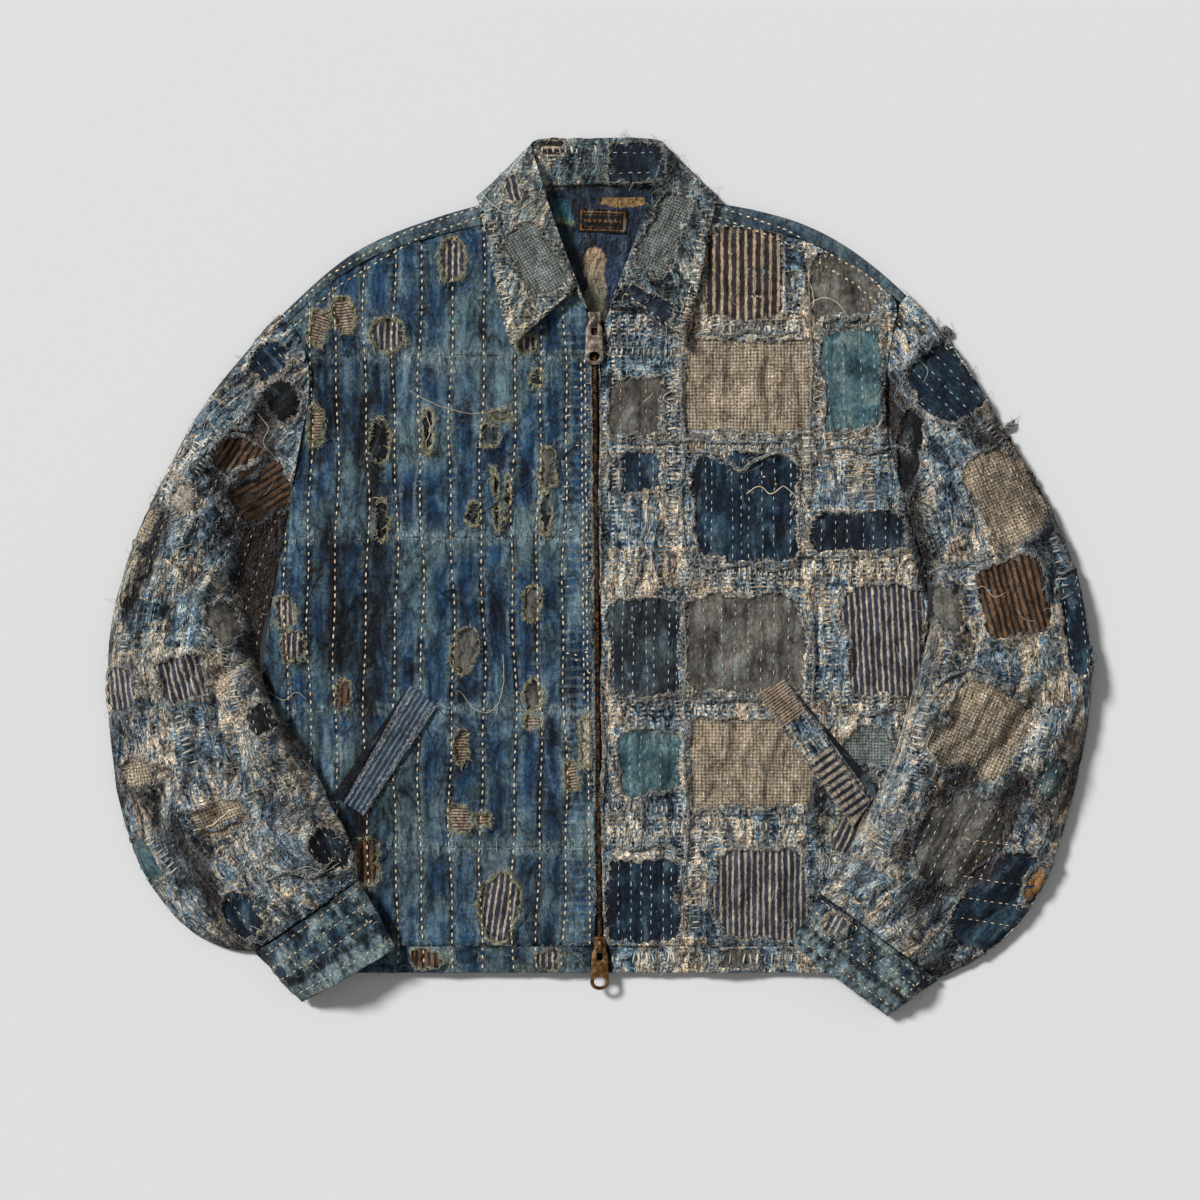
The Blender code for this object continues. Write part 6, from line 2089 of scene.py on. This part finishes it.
# %% Shreds
SHREDS = (
    # name, width at start, middle and end, path in millimetres, and the cloth where it isn't "shred"
    ("sleeve_head_roll", (9, 12, 8), ((241, 163), (250, 174), (263, 187), (276, 196), (283, 194))),
    ("sleeve_edge_tab", (5, 6, 3), ((322, 118), (328, 121), (333, 125))),
    ("elbow_roll", (3, 5, 3), ((262, 2), (274, 8), (290, 10), (306, 14))),
    ("forearm_roll", (3, 5, 3), ((264, -86), (280, -76), (298, -72), (314, -82))),
    ("chest_roll_a", (2, 3.4, 2), ((176, 100), (196, 104), (214, 99), (236, 104), (250, 98))),
    ("chest_roll_c", (2, 4, 2), ((76, 100), (92, 98), (104, 91), (114, 84), (124, 92), (142, 98),
                                 (160, 97))),
    ("green_roll", (2, 3.6, 2), ((70, 190), (88, 194), (104, 191), (120, 196), (140, 193), (162, 195))),
    ("chest_roll_b", (2, 3.6, 2), ((74, 10), (96, 6), (118, 11), (140, 5), (160, 10))),
    ("pocket_roll", (2, 3.4, 2), ((66, -98), (90, -100), (116, -96), (128, -102))),
    ("hem_roll", (2, 4, 2), ((14, -214), (30, -217), (48, -213), (64, -219))),
    ("side_roll", (2, 4, 2), ((198, -104), (216, -110), (234, -104), (250, -110))),
    ("right_sleeve_roll", (3, 5, 2), ((-310, 124), (-296, 112), (-282, 112), (-268, 104))),
    ("right_elbow_roll", (2, 4, 2), ((-318, -196), (-302, -200), (-286, -192), (-270, -196))),
    ("wrist_roll", (3, 4.5, 3), ((-262, -240), (-244, -232), (-226, -236), (-208, -224))),
    ("shoulder_cord", (1.4, 1.6, 1.4), ((169, 262), (168, 220), (170, 170), (168, 112), (170, 62)),
     "cream"),
    ("breast_cord", (1.8, 2.6, 1.8), ((69, 190), (66, 150), (69, 104), (67, 60), (70, 16))),
    ("waist_cord", (1.2, 1.6, 1.2), ((68, -18), (70, -60), (68, -104)), "cream"),
    ("low_cord", (1.8, 2.4, 1.8), ((71, -112), (69, -150), (72, -190), (70, -230))),
    ("side_cord", (1.8, 2.6, 1.8), ((170, -20), (172, -60), (170, -104))),
    ("chest_seam", (1.6, 3, 1.6), ((10, 108), (40, 106), (72, 109), (110, 106), (160, 108))),
    ("zip_edge_high", (1.5, 2.6, 2), ((1.0, 176), (2.4, 120), (1.6, 70), (2.2, 20), (1.8, -14))),
    ("zip_edge_right", (2.2, 3.0, 2.2), ((-5.5, 172), (-4.7, 90), (-3.9, 0), (-3.3, -90), (-2.4, -180),
                                         (-1.6, -270)), "front"),
    ("zip_edge_low", (2, 3.4, 2), ((2.2, -70), (3.2, -104), (4.6, -140), (3.4, -180), (4.2, -230),
                                   (4.4, -270))),
)


def shred(name, widths, path, cloth="shred", sides=10, rings_per_mm=0.7):
    middle = smooth_path(path, max(14, int(rings_per_mm * length_of(path))))
    if name.startswith("zip_edge"):
        middle[:, 2] = chain_top - 0.9 - sunk(middle[:, 1])
    run = np.gradient(middle, axis=0)
    run /= np.linalg.norm(run, axis=1)[:, None]
    across = np.cross(run, (0, 0, 1.0))
    share = np.linspace(0, 1, len(middle))
    swell = np.sqrt(np.clip(4 * share * (1 - share) + 0.12, 0, 1))
    width = np.interp(share, (0, 0.5, 1), widths) / 2 * swell
    turn = np.arange(sides) * 2 * math.pi / sides
    lump = 1 + 0.28 * clouds(share[:, None] * 60, turn[None, :] * 3, 1.7, len(name))
    reach = width[:, None] * lump
    points = (middle[:, None, :] + across[:, None, :] * (reach * np.cos(turn))[:, :, None]
              + np.array((0, 0, 1.0)) * (0.62 * reach * np.sin(turn) + 0.35 * width[:, None])[:, :, None])
    first = np.arange(len(middle) - 1)[:, None] * sides
    k = np.arange(sides)
    faces = np.stack([first + k, first + (k + 1) % sides, first + sides + (k + 1) % sides,
                      first + sides + k], axis=-1)
    caps = [list(k[::-1]), list((len(middle) - 1) * sides + k)]
    piece = new_mesh(name, points.reshape(-1, 3), faces.reshape(-1, 4)[:, ::-1].tolist() + caps,
                     CLOTHS[cloth])
    along = np.repeat(share * len(middle) / rings_per_mm, sides)
    write_grain(piece, np.tile(turn * 2.0, len(middle)), along)
    write_marks(piece, 0.5 + 0.3 * clouds(along, along * 0, 7, 122), 0 * along,
                0.35 + 0.35 * clouds(along, along * 0, 5, 121), 0 * along)
    piece.data.shade_smooth()
    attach(piece, "jacket")
    starts = middle[dice.integers(0, len(middle), 2 * len(middle)), :2]
    return piece, list(starts + dice.normal(0, 0.3 * max(widths), starts.shape))


shreds, starts = {}, []
for name, *rest in SHREDS:
    shreds[name], found = shred(name, *rest)
    starts += found
surface = one_tree(laid + [*shreds.values()])
found = loose_paths(starts, dice.uniform(0, 2 * math.pi, len(starts)),
                    dice.gamma(2.2, 1.2, len(starts)) + 1.2, 0.6, 0.5)
lay_yarn("shred_threads", found, (0.15, 0.28), (0.9, 0.9))
print("shreds:", len(shreds), "with", len(found), "threads")

# %% [markdown]
# ## The cut of each cloth
# Each cloth's cut size, all round where it is a tube, is listed and raised to the smallest cut; nothing
# more is done with it.

# %% Cut sizes
def declare(flat):
    """Raises each side of a cut size in metres to the smallest cut; nothing is kept."""
    flat = [max(side, SMALLEST_CUT) for side in flat]


CUTS = {    # width and length in metres, all round where the piece is a tube
    "front_right": (0.285, 0.595), "front_left": (0.285, 0.595), "back": (0.56, 0.62),
    "hem_band": (1.0, 0.026), "sleeve_right": (0.35, 0.58), "sleeve_left": (0.35, 0.6),
    "cuff_right": (0.21, 0.068), "cuff_left": (0.21, 0.068), "collar": (0.44, 0.088),
}
for name, flat in CUTS.items():
    declare(flat)
for side, welt in welts.items():
    declare((0.027, 0.128))
    declare((SMALLEST_CUT, 0.118))
    tape = bpy.data.objects[f"zip_tape_{side}_cloth"]
    declare(sorted(tape.dimensions)[1:])
declare((0.118, 0.142))
declare((0.044, 0.022))

# %% Floor, light and camera
bpy.ops.mesh.primitive_plane_add(size=6, location=(0, 0, -0.0005))
floor = bpy.context.active_object
floor.name = "floor"
material = bpy.data.materials.new("pale_floor")
material.use_nodes = True
material.node_tree.nodes["Principled BSDF"].inputs["Base Color"].default_value = (0.72, 0.72, 0.72, 1)
material.node_tree.nodes["Principled BSDF"].inputs["Roughness"].default_value = 0.9
floor.data.materials.append(material)

world = bpy.data.worlds.new("room")
bpy.context.scene.world = world
world.use_nodes = True
world.node_tree.nodes["Background"].inputs["Color"].default_value = (1.0, 1.0, 1.0, 1)
world.node_tree.nodes["Background"].inputs["Strength"].default_value = 0.27

light = bpy.data.lights.new("window", "SUN")
light.energy, light.angle = 3.53, math.radians(12)
window = link(bpy.data.objects.new("window", light))
window.rotation_euler = Vector((1.1, -0.85, -1.25)).to_track_quat("-Z", "Y").to_euler()

camera = link(bpy.data.objects.new("camera", bpy.data.cameras.new("camera")))
camera.data.lens, camera.data.sensor_width = 85, 36
camera.location = (0.0016, -0.0184, 2.267)
bpy.context.scene.camera = camera
bpy.context.scene.view_settings.view_transform = "Standard"

# %% Sizes, and the end
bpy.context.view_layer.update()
shown = [piece for piece in bpy.data.objects if piece.type == "MESH" and not piece.hide_render]
counts = {piece.name: sum(len(face.vertices) - 2 for face in piece.data.polygons) for piece in shown}
print("triangles:", sum(counts.values()), "most:", sorted(counts.items(), key=lambda pair: -pair[1])[:30])
